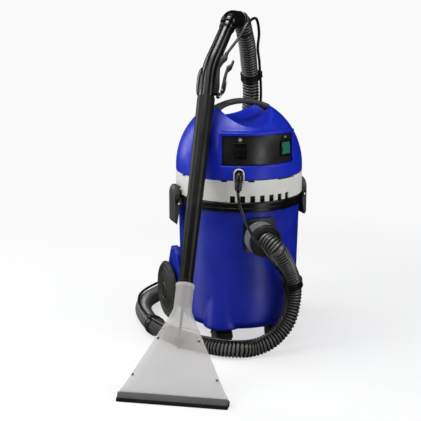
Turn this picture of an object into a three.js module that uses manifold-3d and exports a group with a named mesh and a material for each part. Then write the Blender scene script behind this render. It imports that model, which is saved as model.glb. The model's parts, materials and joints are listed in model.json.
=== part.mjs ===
// Spot extractor: a wheeled wet tank with a lift-off motor head, a suction hose, and a spray wand that
// leans on the head. Millimetres, +Z up. The origin is the centre of the tank's flat underside, the
// front of the machine faces -Y, and the floor is FLOOR below the origin.

import * as THREE from 'three';
import { mergeVertices } from 'three/addons/utils/BufferGeometryUtils.js';
import Module from 'manifold-3d';

const wasm = await Module();
wasm.setup();

// ---------------------------------------------------------------- driving dimensions

const FLOOR = -62;
const GAP = 0.3;

const TANK = { base: 166, top: 173.6, height: 358, wall: 4, floor: 6, corner: 26 };
const RIM = { radius: 183, bottom: 345, top: 372 };
const HEAD = { radius: 180, bottom: 372.4, split: 432, wall: 6 };
const DOME = { centre: 445, radius: 180, height: 191, wall: 4 };
const CHANNEL = { halfWidth: 76, floor: 570, centre: 622 };
const POD = { frame: 174, recess: 168, halfAngle: 40, bottom: 465, top: 562 };
const WINDOW = { halfAngle: 37, bottom: 471, top: 553 };
const SWITCH_Z = 512;
const SWITCHES = { vacuum: { angle: -20, width: 38 }, pump: { angle: 27.5, width: 42 } };
const SWITCH_HEIGHT = 44;
const ROCKER_TILT = 7;
const OUTLET = { angle: -21, halfWidth: 15, top: 466 };
const VENTS = { count: 7, width: 14, top: 390, step: 8.8 };
const LATCH = {
  width: 55, bottom: 288, top: 398, inner: 186.5, outer: 201, pinX: 193, pinZ: 351, pinRadius: 3.2,
};
const CASTER = { x: 82, y: -94, radius: 25, width: 24, trail: 10, stem: 6 };
const CASTER_POD = { base: 58, top: 40, bottom: 0, height: 130 };
const WHEEL = { radius: 88, rim: 70, inner: 146, outer: 162, y: 205, axle: 6 };
const INLET = { x: -8, z: 274, wallY: -172, socket: 45, length: 37, collar: 45, bore: 19 };
const HOSE = { outer: 25, inner: 21, steps: 50 };
const THIN = { radius: 4, steps: 66, offset: 31 };
const WAND = {
  foot: [-343, -439, FLOOR + 0.4], yaw: -30.17, lean: 32.6,
  width: 141.5, lip: 20.3, neckStart: 240, tubeStart: 252, tubeEnd: 838, gripStart: 826, bend: 930,
  gripLength: 150, gripTurn: [0.244, 0.107, 0.964], side: 15,
};

const rad = THREE.MathUtils.degToRad;

// ---------------------------------------------------------------- solids and booleans

// A closed manifold solid from a three.js geometry.
function solid(geometry) {
  const bare = geometry.clone();
  bare.deleteAttribute('normal');
  bare.deleteAttribute('uv');
  const merged = mergeVertices(bare, 1e-4);
  const index = merged.index.array;
  const kept = [];
  for (let i = 0; i < index.length; i += 3) {
    const [a, b, c] = [index[i], index[i + 1], index[i + 2]];
    if (a !== b && b !== c && a !== c) kept.push(a, b, c);
  }
  return new wasm.Manifold(new wasm.Mesh({
    numProp: 3,
    vertProperties: new Float32Array(merged.attributes.position.array),
    triVerts: new Uint32Array(kept),
  }));
}

function join(...solids) {
  return solids.reduce((whole, piece) => whole.add(piece));
}

function cut(whole, ...tools) {
  return tools.reduce((left, tool) => left.subtract(tool), whole);
}

function geometryOf(body) {
  const result = body.getMesh();
  const geometry = new THREE.BufferGeometry();
  const positions = new Float32Array(result.numVert * 3);
  for (let i = 0; i < result.numVert; i += 1) {
    for (let k = 0; k < 3; k += 1) positions[3 * i + k] = result.vertProperties[result.numProp * i + k];
  }
  geometry.setAttribute('position', new THREE.BufferAttribute(positions, 3));
  geometry.setIndex(new THREE.BufferAttribute(new Uint32Array(result.triVerts), 1));
  return geometry;
}

// ---------------------------------------------------------------- basic shapes

// A profile of [radius, height] points turned about Z. It runs anticlockwise, radius to the right.
function revolve(points, segments = 28) {
  const profile = points.map(([r, z]) => new THREE.Vector2(r, z));
  return solid(new THREE.LatheGeometry(profile, segments).rotateX(Math.PI / 2));
}

// The same for a profile that doesn't touch the axis.
function ring(points, segments = 28) {
  return revolve([...points, points[0]], segments);
}

function box(x0, x1, y0, y1, z0, z1) {
  const geometry = new THREE.BoxGeometry(x1 - x0, y1 - y0, z1 - z0);
  return solid(geometry.translate((x0 + x1) / 2, (y0 + y1) / 2, (z0 + z1) / 2));
}

// A box whose two x limits are measured outwards on one side of the machine, left (-1) or right (1).
function sideBox(side, near, far, y0, y1, z0, z1) {
  return box(Math.min(side * near, side * far), Math.max(side * near, side * far), y0, y1, z0, z1);
}

// A round bar between two points, with a radius at each.
function bar(from, to, r0, r1 = r0, sides = 12) {
  const a = new THREE.Vector3(...from);
  const b = new THREE.Vector3(...to);
  const along = b.clone().sub(a);
  const geometry = new THREE.CylinderGeometry(r1, r0, along.length(), sides);
  const turn = new THREE.Quaternion().setFromUnitVectors(new THREE.Vector3(0, 1, 0), along.normalize());
  const middle = a.clone().add(b).multiplyScalar(0.5);
  return solid(geometry.applyQuaternion(turn).translate(middle.x, middle.y, middle.z));
}

function ball(centre, r, sides = 12) {
  return solid(new THREE.SphereGeometry(r, sides, sides / 2).rotateX(Math.PI / 2).translate(...centre));
}

// A bar bent through a row of points, rounded at each corner.
function bentBar(points, r, sides = 12) {
  const pieces = [];
  points.slice(1).forEach((point, i) => pieces.push(bar(points[i], point, r, r, sides)));
  points.slice(1, -1).forEach((point) => pieces.push(ball(point, r, sides)));
  return join(...pieces);
}

function outline(points) {
  return new THREE.Shape(points.map(([x, y]) => new THREE.Vector2(x, y)));
}

// An outline in the XZ plane, thick in Y between y0 and y1.
function slabXZ(points, y0, y1) {
  const geometry = new THREE.ExtrudeGeometry(outline(points), { depth: y1 - y0, bevelEnabled: false });
  return solid(geometry.rotateX(Math.PI / 2).translate(0, y1, 0));
}

// An outline in the YZ plane, thick in X between x0 and x1.
function slabYZ(points, x0, x1) {
  const geometry = new THREE.ExtrudeGeometry(outline(points), { depth: x1 - x0, bevelEnabled: false });
  return solid(geometry.rotateX(Math.PI / 2).rotateZ(Math.PI / 2).translate(x0, 0, 0));
}

// A wedge of a cylinder about Z, centred on the front, from the axis out to radius r.
function frontWedge(r, halfAngle, z0, z1) {
  const shape = new THREE.Shape();
  const start = rad(-90 - halfAngle);
  shape.moveTo(0, 0);
  shape.lineTo(r * Math.cos(start), r * Math.sin(start));
  shape.absarc(0, 0, r, start, rad(-90 + halfAngle), false);
  const options = { depth: z1 - z0, bevelEnabled: false, curveSegments: 10 };
  return solid(new THREE.ExtrudeGeometry(shape, options).translate(0, 0, z0));
}

// Stacked sections { z, x, y, a, b }: an ellipse of half sizes a by b round (x, y) at each height.
function loft(sections, sides = 20) {
  const geometry = new THREE.CylinderGeometry(1, 1, sections.length - 1, sides, sections.length - 1);
  geometry.rotateX(Math.PI / 2);
  const place = geometry.attributes.position;
  for (let i = 0; i < place.count; i += 1) {
    const level = Math.round(place.getZ(i) + (sections.length - 1) / 2);
    const { z, x = 0, y = 0, a, b } = sections[level];
    place.setXYZ(i, x + a * place.getX(i), y + b * place.getY(i), z);
  }
  return solid(geometry);
}

// A round tube swept along a curve, open at both ends when it has a bore.
function sweep(curve, outer, inner, steps, sides = 12) {
  const shape = new THREE.Shape().absarc(0, 0, outer, 0, 2 * Math.PI, false);
  if (inner > 0) shape.holes.push(new THREE.Path().absarc(0, 0, inner, 0, 2 * Math.PI, true));
  const options = { steps, extrudePath: curve, curveSegments: sides, bevelEnabled: false };
  return solid(new THREE.ExtrudeGeometry(shape, options));
}

function turnZ(body, degrees) {
  return body.rotate([0, 0, degrees]);
}

// ---------------------------------------------------------------- colours and named pieces

const FINISHES = {
  blue: [0x1b3a9c, 0.35, 0], lightGrey: [0xc6c6bf, 0.5, 0], black: [0x161616, 0.5, 0],
  grey: [0x55564f, 0.6, 0], hose: [0x2b2c28, 0.6, 0], clear: [0xcfcac4, 0.3, 0],
  rubber: [0x202020, 0.9, 0], steel: [0x9a9a98, 0.35, 1], green: [0x2e6351, 0.3, 0],
  white: [0xe4e2da, 0.5, 0],
};

const machine = new THREE.Group();

function piece(name, body, finish, parent = machine) {
  const [color, roughness, metalness] = FINISHES[finish];
  const material = new THREE.MeshStandardMaterial({ color, roughness, metalness });
  const mesh = new THREE.Mesh(body.isBufferGeometry ? body : geometryOf(body), material);
  mesh.name = name;
  parent.add(mesh);
  return mesh;
}

// ---------------------------------------------------------------- tank

// The tank's outside, grown by an allowance. Its wall leans out slightly towards the rim.
function tankOutside(grow = 0) {
  const r = TANK.base + grow;
  const c = TANK.corner;
  return revolve([
    [0, -grow], [r - c, -grow], [r - 0.3 * c, 0.3 * c - grow], [r, c],
    [TANK.top + grow, TANK.height + grow], [0, TANK.height + grow],
  ]);
}

function tankInside() {
  const r = TANK.base - TANK.wall;
  return revolve([
    [0, TANK.floor], [r - TANK.corner, TANK.floor], [r, TANK.corner + TANK.floor],
    [TANK.top - TANK.wall, TANK.height + 1], [0, TANK.height + 1],
  ]);
}

function tankShell() {
  const upright = (side, z0, z1, r0, r1) => {
    const [x, y] = [side * CASTER.x, CASTER.y];
    return bar([x, y, z0], [x, y, z1], r0, r1, 16);
  };
  const { base, top, bottom, height } = CASTER_POD;
  const pods = [-1, 1].map((side) => upright(side, bottom, height, base, top));
  const bosses = [-1, 1].map((side) => upright(side, -6, 42, 16, 16));
  const stem = CASTER.stem + GAP;
  const stemHoles = [-1, 1].map((side) => upright(side, -8, 36, stem, stem));
  const inletHole = bar([INLET.x, -190, INLET.z], [INLET.x, -150, INLET.z], INLET.bore);
  const walls = cut(join(tankOutside(), ...pods), tankInside());
  return cut(join(walls, ...bosses), ...stemHoles, inletHole);
}

function rimRing() {
  const hoop = ring([
    [TANK.top + 0.8, RIM.bottom], [RIM.radius, RIM.bottom], [RIM.radius, RIM.top], [168, RIM.top],
    [168, TANK.height + 0.6], [TANK.top + 0.8, TANK.height + 0.6],
  ]);
  const ears = [];
  const near = LATCH.width / 2 + 1;
  const far = LATCH.width / 2 + 6;
  for (const side of [-1, 1]) {
    ears.push(sideBox(side, 177, 199, near, far, 346, 365), sideBox(side, 177, 199, -far, -near, 346, 365));
  }
  const pins = [-1, 1].map((side) => bar(
    [side * LATCH.pinX, -50, LATCH.pinZ], [side * LATCH.pinX, 50, LATCH.pinZ], LATCH.pinRadius + GAP));
  return cut(join(hoop, ...ears), ...pins, tankOutside(0.4));
}

function tank() {
  piece('tank_shell', tankShell(), 'blue');
  piece('rim_ring', rimRing(), 'black');
  piece('tank_gasket', ring([[169, 372.3], [175.5, 372.3], [175.5, 375], [169, 375]]), 'rubber');
}

// A reservoir for clean solution in the back half of the tank, filled through a capped neck.
function solutionTank() {
  const half = (r, y, z0, z1) => {
    const shape = new THREE.Shape();
    const start = Math.asin(y / r);
    shape.absarc(0, 0, r, start, Math.PI - start, false);
    const options = { depth: z1 - z0, bevelEnabled: false, curveSegments: 20 };
    return solid(new THREE.ExtrudeGeometry(shape, options).translate(0, 0, z0));
  };
  const neck = bar([0, 90, 225], [0, 90, 250], 24);
  const mouth = bar([0, 90, 200], [0, 90, 255], 20);
  piece('solution_tank', cut(join(half(154, 24, 30, 232), neck), half(151, 27, 33, 229), mouth), 'white');
  const cap = cut(bar([0, 90, 236], [0, 90, 256], 29), bar([0, 90, 230], [0, 90, 250.4], 24.4));
  piece('solution_cap', cap, 'black');
}

// ---------------------------------------------------------------- latches, pins

// A rocker plate on each side. Its nose rests over a rib on the head ring, its tail is the finger pull.
function latches() {
  const { inner, outer, bottom, top, pinX, pinZ, pinRadius } = LATCH;
  const half = LATCH.width / 2;
  const profile = [
    [inner, bottom + 50], [outer - 6, bottom], [outer, bottom + 8], [outer, top - 10],
    [outer - 5, top], [inner, top], [180.8, top - 2.6], [180.8, 391.5], [inner, 391.5],
  ];
  const face = [
    [-half, bottom - 1], [half, bottom - 1], [half, top - 22], [half - 14, top + 1],
    [14 - half, top + 1], [-half, top - 22],
  ];
  const block = slabXZ(profile, -half, half).intersect(slabYZ(face, 150, 250));
  const plate = cut(block, bar([pinX, -40, pinZ], [pinX, 40, pinZ], pinRadius + GAP));
  const pin = bar([pinX, -half - 8, pinZ], [pinX, half + 8, pinZ], pinRadius);
  for (const [side, turn] of [['right', 0], ['left', Math.PI]]) {
    const mount = new THREE.Group();
    mount.rotation.z = turn;
    machine.add(mount);
    piece(`latch_${side}`, plate, 'grey', mount);
    piece(`latch_pin_${side}`, pin, 'steel', mount);
  }
}

// ---------------------------------------------------------------- running gear

function casters() {
  const { x, y, radius, width, trail, stem } = CASTER;
  const hub = FLOOR + radius;
  for (const [side, sign] of [['left', -1], ['right', 1]]) {
    const caster = new THREE.Group();
    caster.position.set(sign * x, y, 0);
    machine.add(caster);
    const across = (x0, x1, r) => bar([x0, trail, hub], [x1, trail, hub], r, r, 20);
    const arch = cut(
      across(-width - 1, width + 1, radius + 4.6),
      across(-30, -5, radius + 1.4),
      across(5, 30, radius + 1.4),
      box(-40, 40, -60, 60, hub - 40, hub + 3),
    );
    const web = box(-5, 5, trail - 12, trail + 12, hub - 10, hub + 12);
    const post = join(bar([0, 0, hub + 14], [0, 0, -6.5], 13), bar([0, 0, -8], [0, 0, 33], stem));
    const clearance = [-1, 1].map((s) => across(s * 5, s * 30, radius + 1.4));
    const axleHole = bar([-9, trail, hub], [9, trail, hub], 4.4);
    piece(`caster_hood_${side}`, cut(join(arch, web, cut(post, ...clearance)), axleHole), 'black', caster);
    const wheels = join(
      across(-width, -6, radius),
      across(6, width, radius),
      bar([-10, trail, hub], [10, trail, hub], 4),
    );
    piece(`caster_wheels_${side}`, wheels, 'rubber', caster);
  }
}

function rearWheels() {
  const hub = FLOOR + WHEEL.radius;
  const { inner, outer, rim, radius, y } = WHEEL;
  const thick = outer - inner;
  const tyre = ring([
    [rim, 0], [radius - 6, 0], [radius, 6], [radius, thick - 8], [radius - 8, thick], [rim, thick],
  ], 24);
  const disc = ring([
    [WHEEL.axle + 0.4, 4], [22, 4], [26, 8], [rim - GAP, 8], [rim - GAP, thick - 1], [40, thick + 4],
    [16, thick + 6], [WHEEL.axle + 0.4, thick + 6],
  ], 24);
  for (const [side, sign] of [['left', -1], ['right', 1]]) {
    const wheel = new THREE.Group();
    wheel.position.set(sign * inner, y, hub);
    wheel.rotation.y = sign * Math.PI / 2;
    machine.add(wheel);
    piece(`rear_tyre_${side}`, tyre, 'rubber', wheel);
    piece(`rear_disc_${side}`, disc, 'grey', wheel);
  }
  piece('rear_axle', bar([-outer - 5, y, hub], [outer + 5, y, hub], WHEEL.axle), 'steel');
}

// The moulding behind the tank that carries the axle, with a raised cheek inside each wheel.
function rearCarriage() {
  const hub = FLOOR + WHEEL.radius;
  const cheek = [
    [110, 4], [236, 4], [252, 40], [240, 92], [214, 148], [203, 166], [190, 158], [176, 168], [150, 150],
    [118, 90],
  ];
  const inside = WHEEL.inner - 26;
  const outside = WHEEL.inner - 4;
  const cheeks = [slabYZ(cheek, inside, outside), slabYZ(cheek, -outside, -inside)];
  const beam = box(-inside - 2, inside + 2, 150, 226, 6, 48);
  const bore = bar([-WHEEL.inner, WHEEL.y, hub], [WHEEL.inner, WHEEL.y, hub], WHEEL.axle + 0.4);
  piece('rear_carriage', cut(join(beam, ...cheeks), tankOutside(0.4), bore), 'blue');
}

// ---------------------------------------------------------------- hoses

const HOSE_POINTS = [
  [14, -253, 254], [36, -240, 226], [62, -214, 190], [86, -196, 139], [91, -187, 85], [77, -191, 32],
  [51, -197, 1], [12, -203, -24], [-28, -200, -36.5], [-70, -198, -36.5], [-107, -178, -36.5],
  [-135, -149, -36.5], [-168, -112, -36.5], [-204, -58, -35], [-239, 57, -32.4], [-238, 150, -35],
  [-222, 240, -36.5], [-185, 315, -36], [-125, 350, -25], [-60, 350, 0], [0, 330, 60], [50, 300, 150],
  [90, 270, 250], [115, 250, 350], [122, 235, 450], [120, 225, 540], [115, 202, 615], [105, 185, 674],
  [92, 163, 718], [74, 132, 771], [56, 109, 811],
];
const CLIPS = { front: 3, side: 14, top: 27 };

const hoseCurve = new THREE.CatmullRomCurve3(HOSE_POINTS.map((p) => new THREE.Vector3(...p)));
const FRAMES = 360;
const hoseFrames = hoseCurve.computeFrenetFrames(FRAMES);
hoseCurve.arcLengthDivisions = FRAMES;

// The arc-length share of the hose at a numbered waypoint.
function shareAt(index) {
  const t = index / (HOSE_POINTS.length - 1);
  const lengths = hoseCurve.getLengths(FRAMES);
  return lengths[Math.round(t * FRAMES)] / lengths[FRAMES];
}

// The thin hose starts on this side of the suction hose at the front clip, and winds round to the
// outer side of it on the way up behind the machine.
const START_SIDE = new THREE.Vector3(-0.84, -0.54, 0);
const WIND = { from: shareAt(19), to: shareAt(26), turn: -0.88 * Math.PI };

function besideHose(share) {
  const at = (list, u) => list[Math.round(u * FRAMES)];
  const first = shareAt(CLIPS.front);
  const a = START_SIDE.dot(at(hoseFrames.normals, first));
  const b = START_SIDE.dot(at(hoseFrames.binormals, first));
  const phase = Math.atan2(b, a) + WIND.turn * THREE.MathUtils.smoothstep(share, WIND.from, WIND.to);
  const side = at(hoseFrames.normals, share).clone().multiplyScalar(Math.cos(phase));
  side.add(at(hoseFrames.binormals, share).clone().multiplyScalar(Math.sin(phase)));
  return hoseCurve.getPointAt(share).add(side.multiplyScalar(THIN.offset));
}

const COUPLER_END = [-75, -190.5, 404];

function solutionHosePoints() {
  const start = shareAt(CLIPS.front);
  const end = shareAt(CLIPS.top) + 0.008;
  const free = [
    COUPLER_END, [-74, -192, 385], [-66, -205, 346], [-56, -236, 305], [-33, -272, 261], [4, -272, 214],
  ];
  const points = free.map((p) => new THREE.Vector3(...p));
  points.push(besideHose(start).add(new THREE.Vector3(-10, -12, 30)));
  const count = 40;
  for (let i = 0; i <= count; i += 1) points.push(besideHose(start + (end - start) * (i / count)));
  return points;
}

const thinPoints = solutionHosePoints();

function clip(index) {
  const share = shareAt(index);
  const along = hoseCurve.getTangentAt(share);
  const big = hoseCurve.getPointAt(share);
  const small = besideHose(share);
  const reach = (point, d) => point.clone().addScaledVector(along, d).toArray();
  const band = join(
    bar(reach(big, -11), reach(big, 11), HOSE.outer + 4, HOSE.outer + 4, 16),
    bar(reach(small, -9), reach(small, 9), THIN.radius + 3.4, THIN.radius + 3.4, 10),
  );
  return cut(band, hoseRun(1.2), thinRun(0.7));
}

function hoseRun(grow) {
  return sweep(hoseCurve, HOSE.outer + grow, 0, HOSE.steps, 6);
}

function thinRun(grow) {
  return sweep(new THREE.CatmullRomCurve3(thinPoints), THIN.radius + grow, 0, THIN.steps, 2);
}

function hoses() {
  piece('suction_hose', sweep(hoseCurve, HOSE.outer, HOSE.inner, HOSE.steps, 4), 'hose');
  piece('solution_hose', thinRun(0), 'black');
  for (const [name, index] of Object.entries(CLIPS)) piece(`hose_clip_${name}`, clip(index), 'black');
}

// ---------------------------------------------------------------- suction inlet

function inlet() {
  const { x, z, wallY, socket, length, collar, bore } = INLET;
  const plate = [
    [-36, -40], [36, -40], [43, -30], [46, 30], [46, 45],
    [39, 52], [-28, 52], [-38, 44], [-42, 30], [-42, -30],
  ].map(([dx, dz]) => [x + dx, z + dz]);
  const through = bar([x, -290, z], [x, -140, z], bore);
  piece('inlet_flange', cut(slabXZ(plate, wallY - 10, wallY + 14), tankOutside(0.4), through), 'black');
  const face = wallY - 10 - GAP;
  const socketRing = cut(bar([x, face, z], [x, face - length, z], socket, socket - 1, 24), through);
  piece('inlet_socket', socketRing, 'lightGrey');
  const start = face - length - GAP;
  const first = hoseCurve.getPointAt(0);
  const away = hoseCurve.getTangentAt(0);
  const mouth = first.clone().addScaledVector(away, -0.5).toArray();
  const back = [x, start - 10, z];
  const outside = join(
    bar([x, start, z], [x, start - 14, z], collar, collar - 1, 24),
    bar(back, mouth, 27),
    ball(back, 27),
  );
  const inside = join(bar([x, start + 5, z], back, bore), bar(back, first.toArray(), bore), ball(back, bore));
  const behind = box(-100, 100, start, 0, 180, 360);
  piece('inlet_elbow', cut(outside, inside, behind, hoseRun(1)), 'black');
}

// ---------------------------------------------------------------- head ring, dome and handle

// A block with a half-round top, from a bottom height up to the outlet's arch, thick in Y.
function archBlock(halfWidth, lessTop, y0, y1, bottom) {
  const r = halfWidth - lessTop;
  const centre = OUTLET.top - OUTLET.halfWidth;
  return join(
    box(-halfWidth, halfWidth, y0, y1, bottom, centre),
    bar([0, y0, centre], [0, y1, centre], r, r, 24),
  );
}

function headRing() {
  const { radius, bottom, split, wall } = HEAD;
  const hoop = ring([
    [177, bottom], [radius, bottom], [radius, split - GAP], [radius - wall, split - GAP],
    [radius - wall, 381], [150, 381], [150, 375.4], [177, 375.4],
  ]);
  const vents = [];
  const half = VENTS.width / 2;
  for (let k = 0; k < VENTS.count; k += 1) {
    const vent = box(-half, half, -190, -176, bottom - 7, VENTS.top);
    vents.push(turnZ(vent, (k - (VENTS.count - 1) / 2) * VENTS.step));
  }
  const slots = [-79, -34, -10, 21].map((a) => turnZ(box(-9, 9, -190, -177, split - 4, split + 4), a));
  const ribs = [-1, 1].map((side) => cut(
    sideBox(side, 170, 184, -24, 24, 386.5, 391),
    revolve([[0, 380], [177, 380], [177, 395], [0, 395]]),
  ));
  const arch = turnZ(cut(
    archBlock(OUTLET.halfWidth, 0.3, -181.5, -172, split - 6),
    archBlock(OUTLET.halfWidth - 4, 0, -195, -160, split - 20),
  ), OUTLET.angle);
  const socketHole = box(-16, 16, 165, 190, 394, 422);
  return cut(join(hoop, ...ribs, arch), ...vents, ...slots, socketHole);
}

// An upright half ellipsoid on a short cylinder, from radius and height.
function domeBlock(radius, height, bottom) {
  const profile = [[0, bottom], [radius, bottom]];
  const steps = 10;
  for (let i = 0; i <= steps; i += 1) {
    const a = (i / steps) * (Math.PI / 2);
    profile.push([i === steps ? 0 : radius * Math.cos(a), DOME.centre + height * Math.sin(a)]);
  }
  return revolve(profile);
}

// The finger channel: an elliptical trough along Y, open at both ends and at the top.
function channel(grow, reach) {
  const points = [];
  const steps = 10;
  for (let i = 0; i <= steps; i += 1) {
    const a = Math.PI + (i / steps) * Math.PI;
    const depth = CHANNEL.centre - CHANNEL.floor + grow;
    points.push([(CHANNEL.halfWidth + grow) * Math.cos(a), CHANNEL.centre + depth * Math.sin(a)]);
  }
  points.push([CHANNEL.halfWidth + grow, 700], [-CHANNEL.halfWidth - grow, 700]);
  return slabXZ(points, -reach, reach);
}

function switchWindow(sw) {
  const h = SWITCH_HEIGHT / 2 - 2.4;
  const w = sw.width / 2 - 2.4;
  return turnZ(box(-w, w, -200, -130, SWITCH_Z - h, SWITCH_Z + h), sw.angle);
}

function headDome() {
  const outer = join(
    domeBlock(DOME.radius, DOME.height, HEAD.split),
    frontWedge(POD.frame, POD.halfAngle, POD.bottom, POD.top),
  );
  const inner = cut(
    join(
      domeBlock(DOME.radius - DOME.wall, DOME.height - DOME.wall, HEAD.split - 1),
      frontWedge(POD.recess - 8, POD.halfAngle - 2, POD.bottom + 3, POD.top - 5),
    ),
    channel(DOME.wall, 200),
  );
  const recess = cut(
    frontWedge(POD.frame + 20, WINDOW.halfAngle, WINDOW.bottom, WINDOW.top),
    frontWedge(POD.recess - 3.6, 90, WINDOW.bottom - 10, WINDOW.top + 10),
  );
  const notch = turnZ(archBlock(OUTLET.halfWidth + GAP, 0, -200, -168, HEAD.split - 4), OUTLET.angle);
  const body = cut(outer, channel(0, 220), recess, notch);
  return cut(body, inner, ...Object.values(SWITCHES).map(switchWindow));
}

// The carrying handle bridges the channel and continues the dome's outline.
function carryHandle() {
  const reach = CHANNEL.halfWidth - GAP;
  const top = (x) => DOME.centre + DOME.height * Math.sqrt(1 - (x / DOME.radius) ** 2);
  const steps = 8;
  const upper = [];
  const lower = [];
  for (let i = 0; i <= steps; i += 1) {
    const x = reach * (1 - (2 * i) / steps);
    upper.push([x, top(x)]);
    lower.unshift([x, top(x) - 13 - 9 * (x / reach) ** 6]);
  }
  return slabXZ([...upper, ...lower], -28, 0).intersect(channel(-GAP, 100));
}

// ---------------------------------------------------------------- control panel and switches

function controlPanel() {
  const { bottom, top, halfAngle } = WINDOW;
  const band = cut(
    frontWedge(POD.recess, halfAngle - 0.2, bottom + GAP, top - GAP),
    frontWedge(POD.recess - 3.2, 90, bottom - 10, top + 10),
  );
  piece('panel_plate', cut(band, ...Object.values(SWITCHES).map(switchWindow)), 'black');
  const h = SWITCH_HEIGHT / 2;
  for (const [name, sw] of Object.entries(SWITCHES)) {
    const w = sw.width / 2;
    const place = new THREE.Group();
    place.rotation.z = rad(sw.angle);
    machine.add(place);
    const face = -POD.recess * Math.cos(Math.asin(w / POD.recess));
    const front = cut(
      box(-w, w, -POD.recess - 4, face + 2, SWITCH_Z - h, SWITCH_Z + h),
      revolve([[0, 400], [POD.recess + 1, 400], [POD.recess + 1, 600], [0, 600]], 36),
    );
    const sleeve = box(-w + 2.8, w - 2.8, -POD.recess - 3, -152, SWITCH_Z - h + 2.8, SWITCH_Z + h - 2.8);
    const hollow = box(-w + 5, w - 5, -190, -140, SWITCH_Z - h + 5, SWITCH_Z + h - 5);
    piece(`${name}_switch_frame`, cut(join(front, sleeve), hollow), 'black', place);
    piece(`${name}_rocker`, rocker(w - 5.6, h - 6), name === 'pump' ? 'green' : 'black', place);
  }
}

// A rocker with two facets that meet along its hinge line, at rest with its upper half pressed in.
function rocker(halfWidth, halfHeight) {
  const facet = halfHeight * Math.tan(rad(ROCKER_TILT));
  const profile = [
    [0, 8], [halfHeight, 8 - facet], [halfHeight, -4], [-halfHeight, -4], [-halfHeight, 8 - facet],
  ];
  const turned = profile.map(([up, out]) => {
    const a = rad(ROCKER_TILT);
    return [-(out * Math.cos(a) - up * Math.sin(a)), up * Math.cos(a) + out * Math.sin(a)];
  });
  const points = turned.map(([y, z]) => [y - POD.recess + 2, z + SWITCH_Z]).reverse();
  return slabYZ(points, -halfWidth, halfWidth);
}

// ---------------------------------------------------------------- solution outlet and power inlet

function outletCoupler() {
  const a = rad(OUTLET.angle);
  const at = (r, z) => [r * Math.sin(a), -r * Math.cos(a), z];
  const end = [COUPLER_END[0], COUPLER_END[1], COUPLER_END[2] + 1.4];
  const body = join(
    bar(at(160, 448), at(190, 448), 9),
    ball(at(190, 448), 10),
    bar(at(190, 448), [(at(190, 0)[0] + end[0]) / 2, (at(190, 0)[1] + end[1]) / 2, 425], 9, 9),
    bar([(at(190, 0)[0] + end[0]) / 2, (at(190, 0)[1] + end[1]) / 2, 426], end, 9, 5.5),
  );
  const clear = revolve([[0, 370], [HEAD.radius + 1.5, 370], [HEAD.radius + 1.5, 431.9], [0, 431.9]]);
  return cut(body, clear);
}

function powerInlet() {
  const plate = box(-20, 20, 180.6, 184, 388, 428);
  const body = box(-15.5, 15.5, 150, 181, 394.5, 421.5);
  const cavity = box(-12, 12, 162, 190, 398, 418);
  const blades = [-7, 0, 7].map((x) => box(x - 1, x + 1, 160, 178, 403, 412));
  return join(cut(join(plate, body), cavity), ...blades);
}

// ---------------------------------------------------------------- inside the head

function motorAndFan() {
  const eye = 22;
  const deck = cut(
    revolve([[0, 381.4], [173.4, 381.4], [173.4, 387], [0, 387]]),
    bar([0, 0, 370], [0, 0, 400], eye),
    ...[-1, 1].map((s) => bar([s * 120, 60, 370], [s * 120, 60, 400], 9)),
  );
  piece('motor_deck', deck, 'black');
  const drum = ring([
    [eye, 387.4], [76, 387.4], [76, 450], [10, 450], [10, 447], [73, 447], [73, 390.4], [eye, 390.4],
  ], 20);
  const exhausts = [0, 60, 120, 180, 240, 300].map((a) => turnZ(box(68, 80, -12, 12, 405, 435), a));
  piece('fan_housing', cut(drum, ...exhausts), 'white');
  const shell = ring([
    [10, 450.4], [50, 450.4], [50, 548], [12, 556], [12, 552], [47, 545], [47, 453.4], [10, 453.4],
  ], 16);
  piece('motor_housing', shell, 'steel');
  const rotor = join(
    revolve([[0, 404], [4.5, 404], [4.5, 550], [0, 550]], 12),
    revolve([[0, 408], [66, 408], [66, 411], [0, 411]], 20),
    revolve([[0, 426], [66, 426], [66, 429], [0, 429]], 20),
    revolve([[0, 465], [34, 465], [34, 530], [0, 530]], 16),
    ...[0, 60, 120, 180, 240, 300].map((a) => turnZ(box(20, 65, -1, 1, 410, 427), a)),
  );
  piece('motor_rotor', rotor, 'steel');
}

function floatValve() {
  const tube = ring([
    [32, 312], [37, 312], [37, 375], [46, 375], [46, 381], [30, 381], [30, 372], [32, 372],
  ], 16);
  const floor = revolve([[0, 312], [33, 312], [33, 315], [0, 315]], 16);
  const windows = [0, 90].map((a) => turnZ(box(-60, 60, -14, 14, 322, 362), a));
  const drains = bar([0, 0, 305], [0, 0, 320], 12);
  piece('float_cage', cut(join(tube, floor), ...windows, drains), 'white');
  piece('float_ball', ball([0, 0, 341], 25, 12), 'white');
}

function pump() {
  const [x, y] = [112, 28];
  const upright = (z0, z1, r, sides = 24) => bar([x, y, z0], [x, y, z1], r, r, sides);
  const body = join(box(x - 28, x + 28, y - 24, y + 24, 387.4, 422), upright(420, 452, 20, 12));
  piece('pump_body', cut(body, upright(405, 470, 11.4)), 'white');
  piece('pump_piston', join(upright(409, 448, 11), upright(446, 462, 5, 12)), 'steel');
}

function head() {
  piece('head_ring', headRing(), 'lightGrey');
  piece('head_dome', headDome(), 'blue');
  piece('carry_handle', carryHandle(), 'grey');
  controlPanel();
  piece('outlet_coupler', outletCoupler(), 'black');
  piece('power_inlet', powerInlet(), 'black');
  motorAndFan();
  floatValve();
  pump();
}

// ---------------------------------------------------------------- wand

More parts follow.
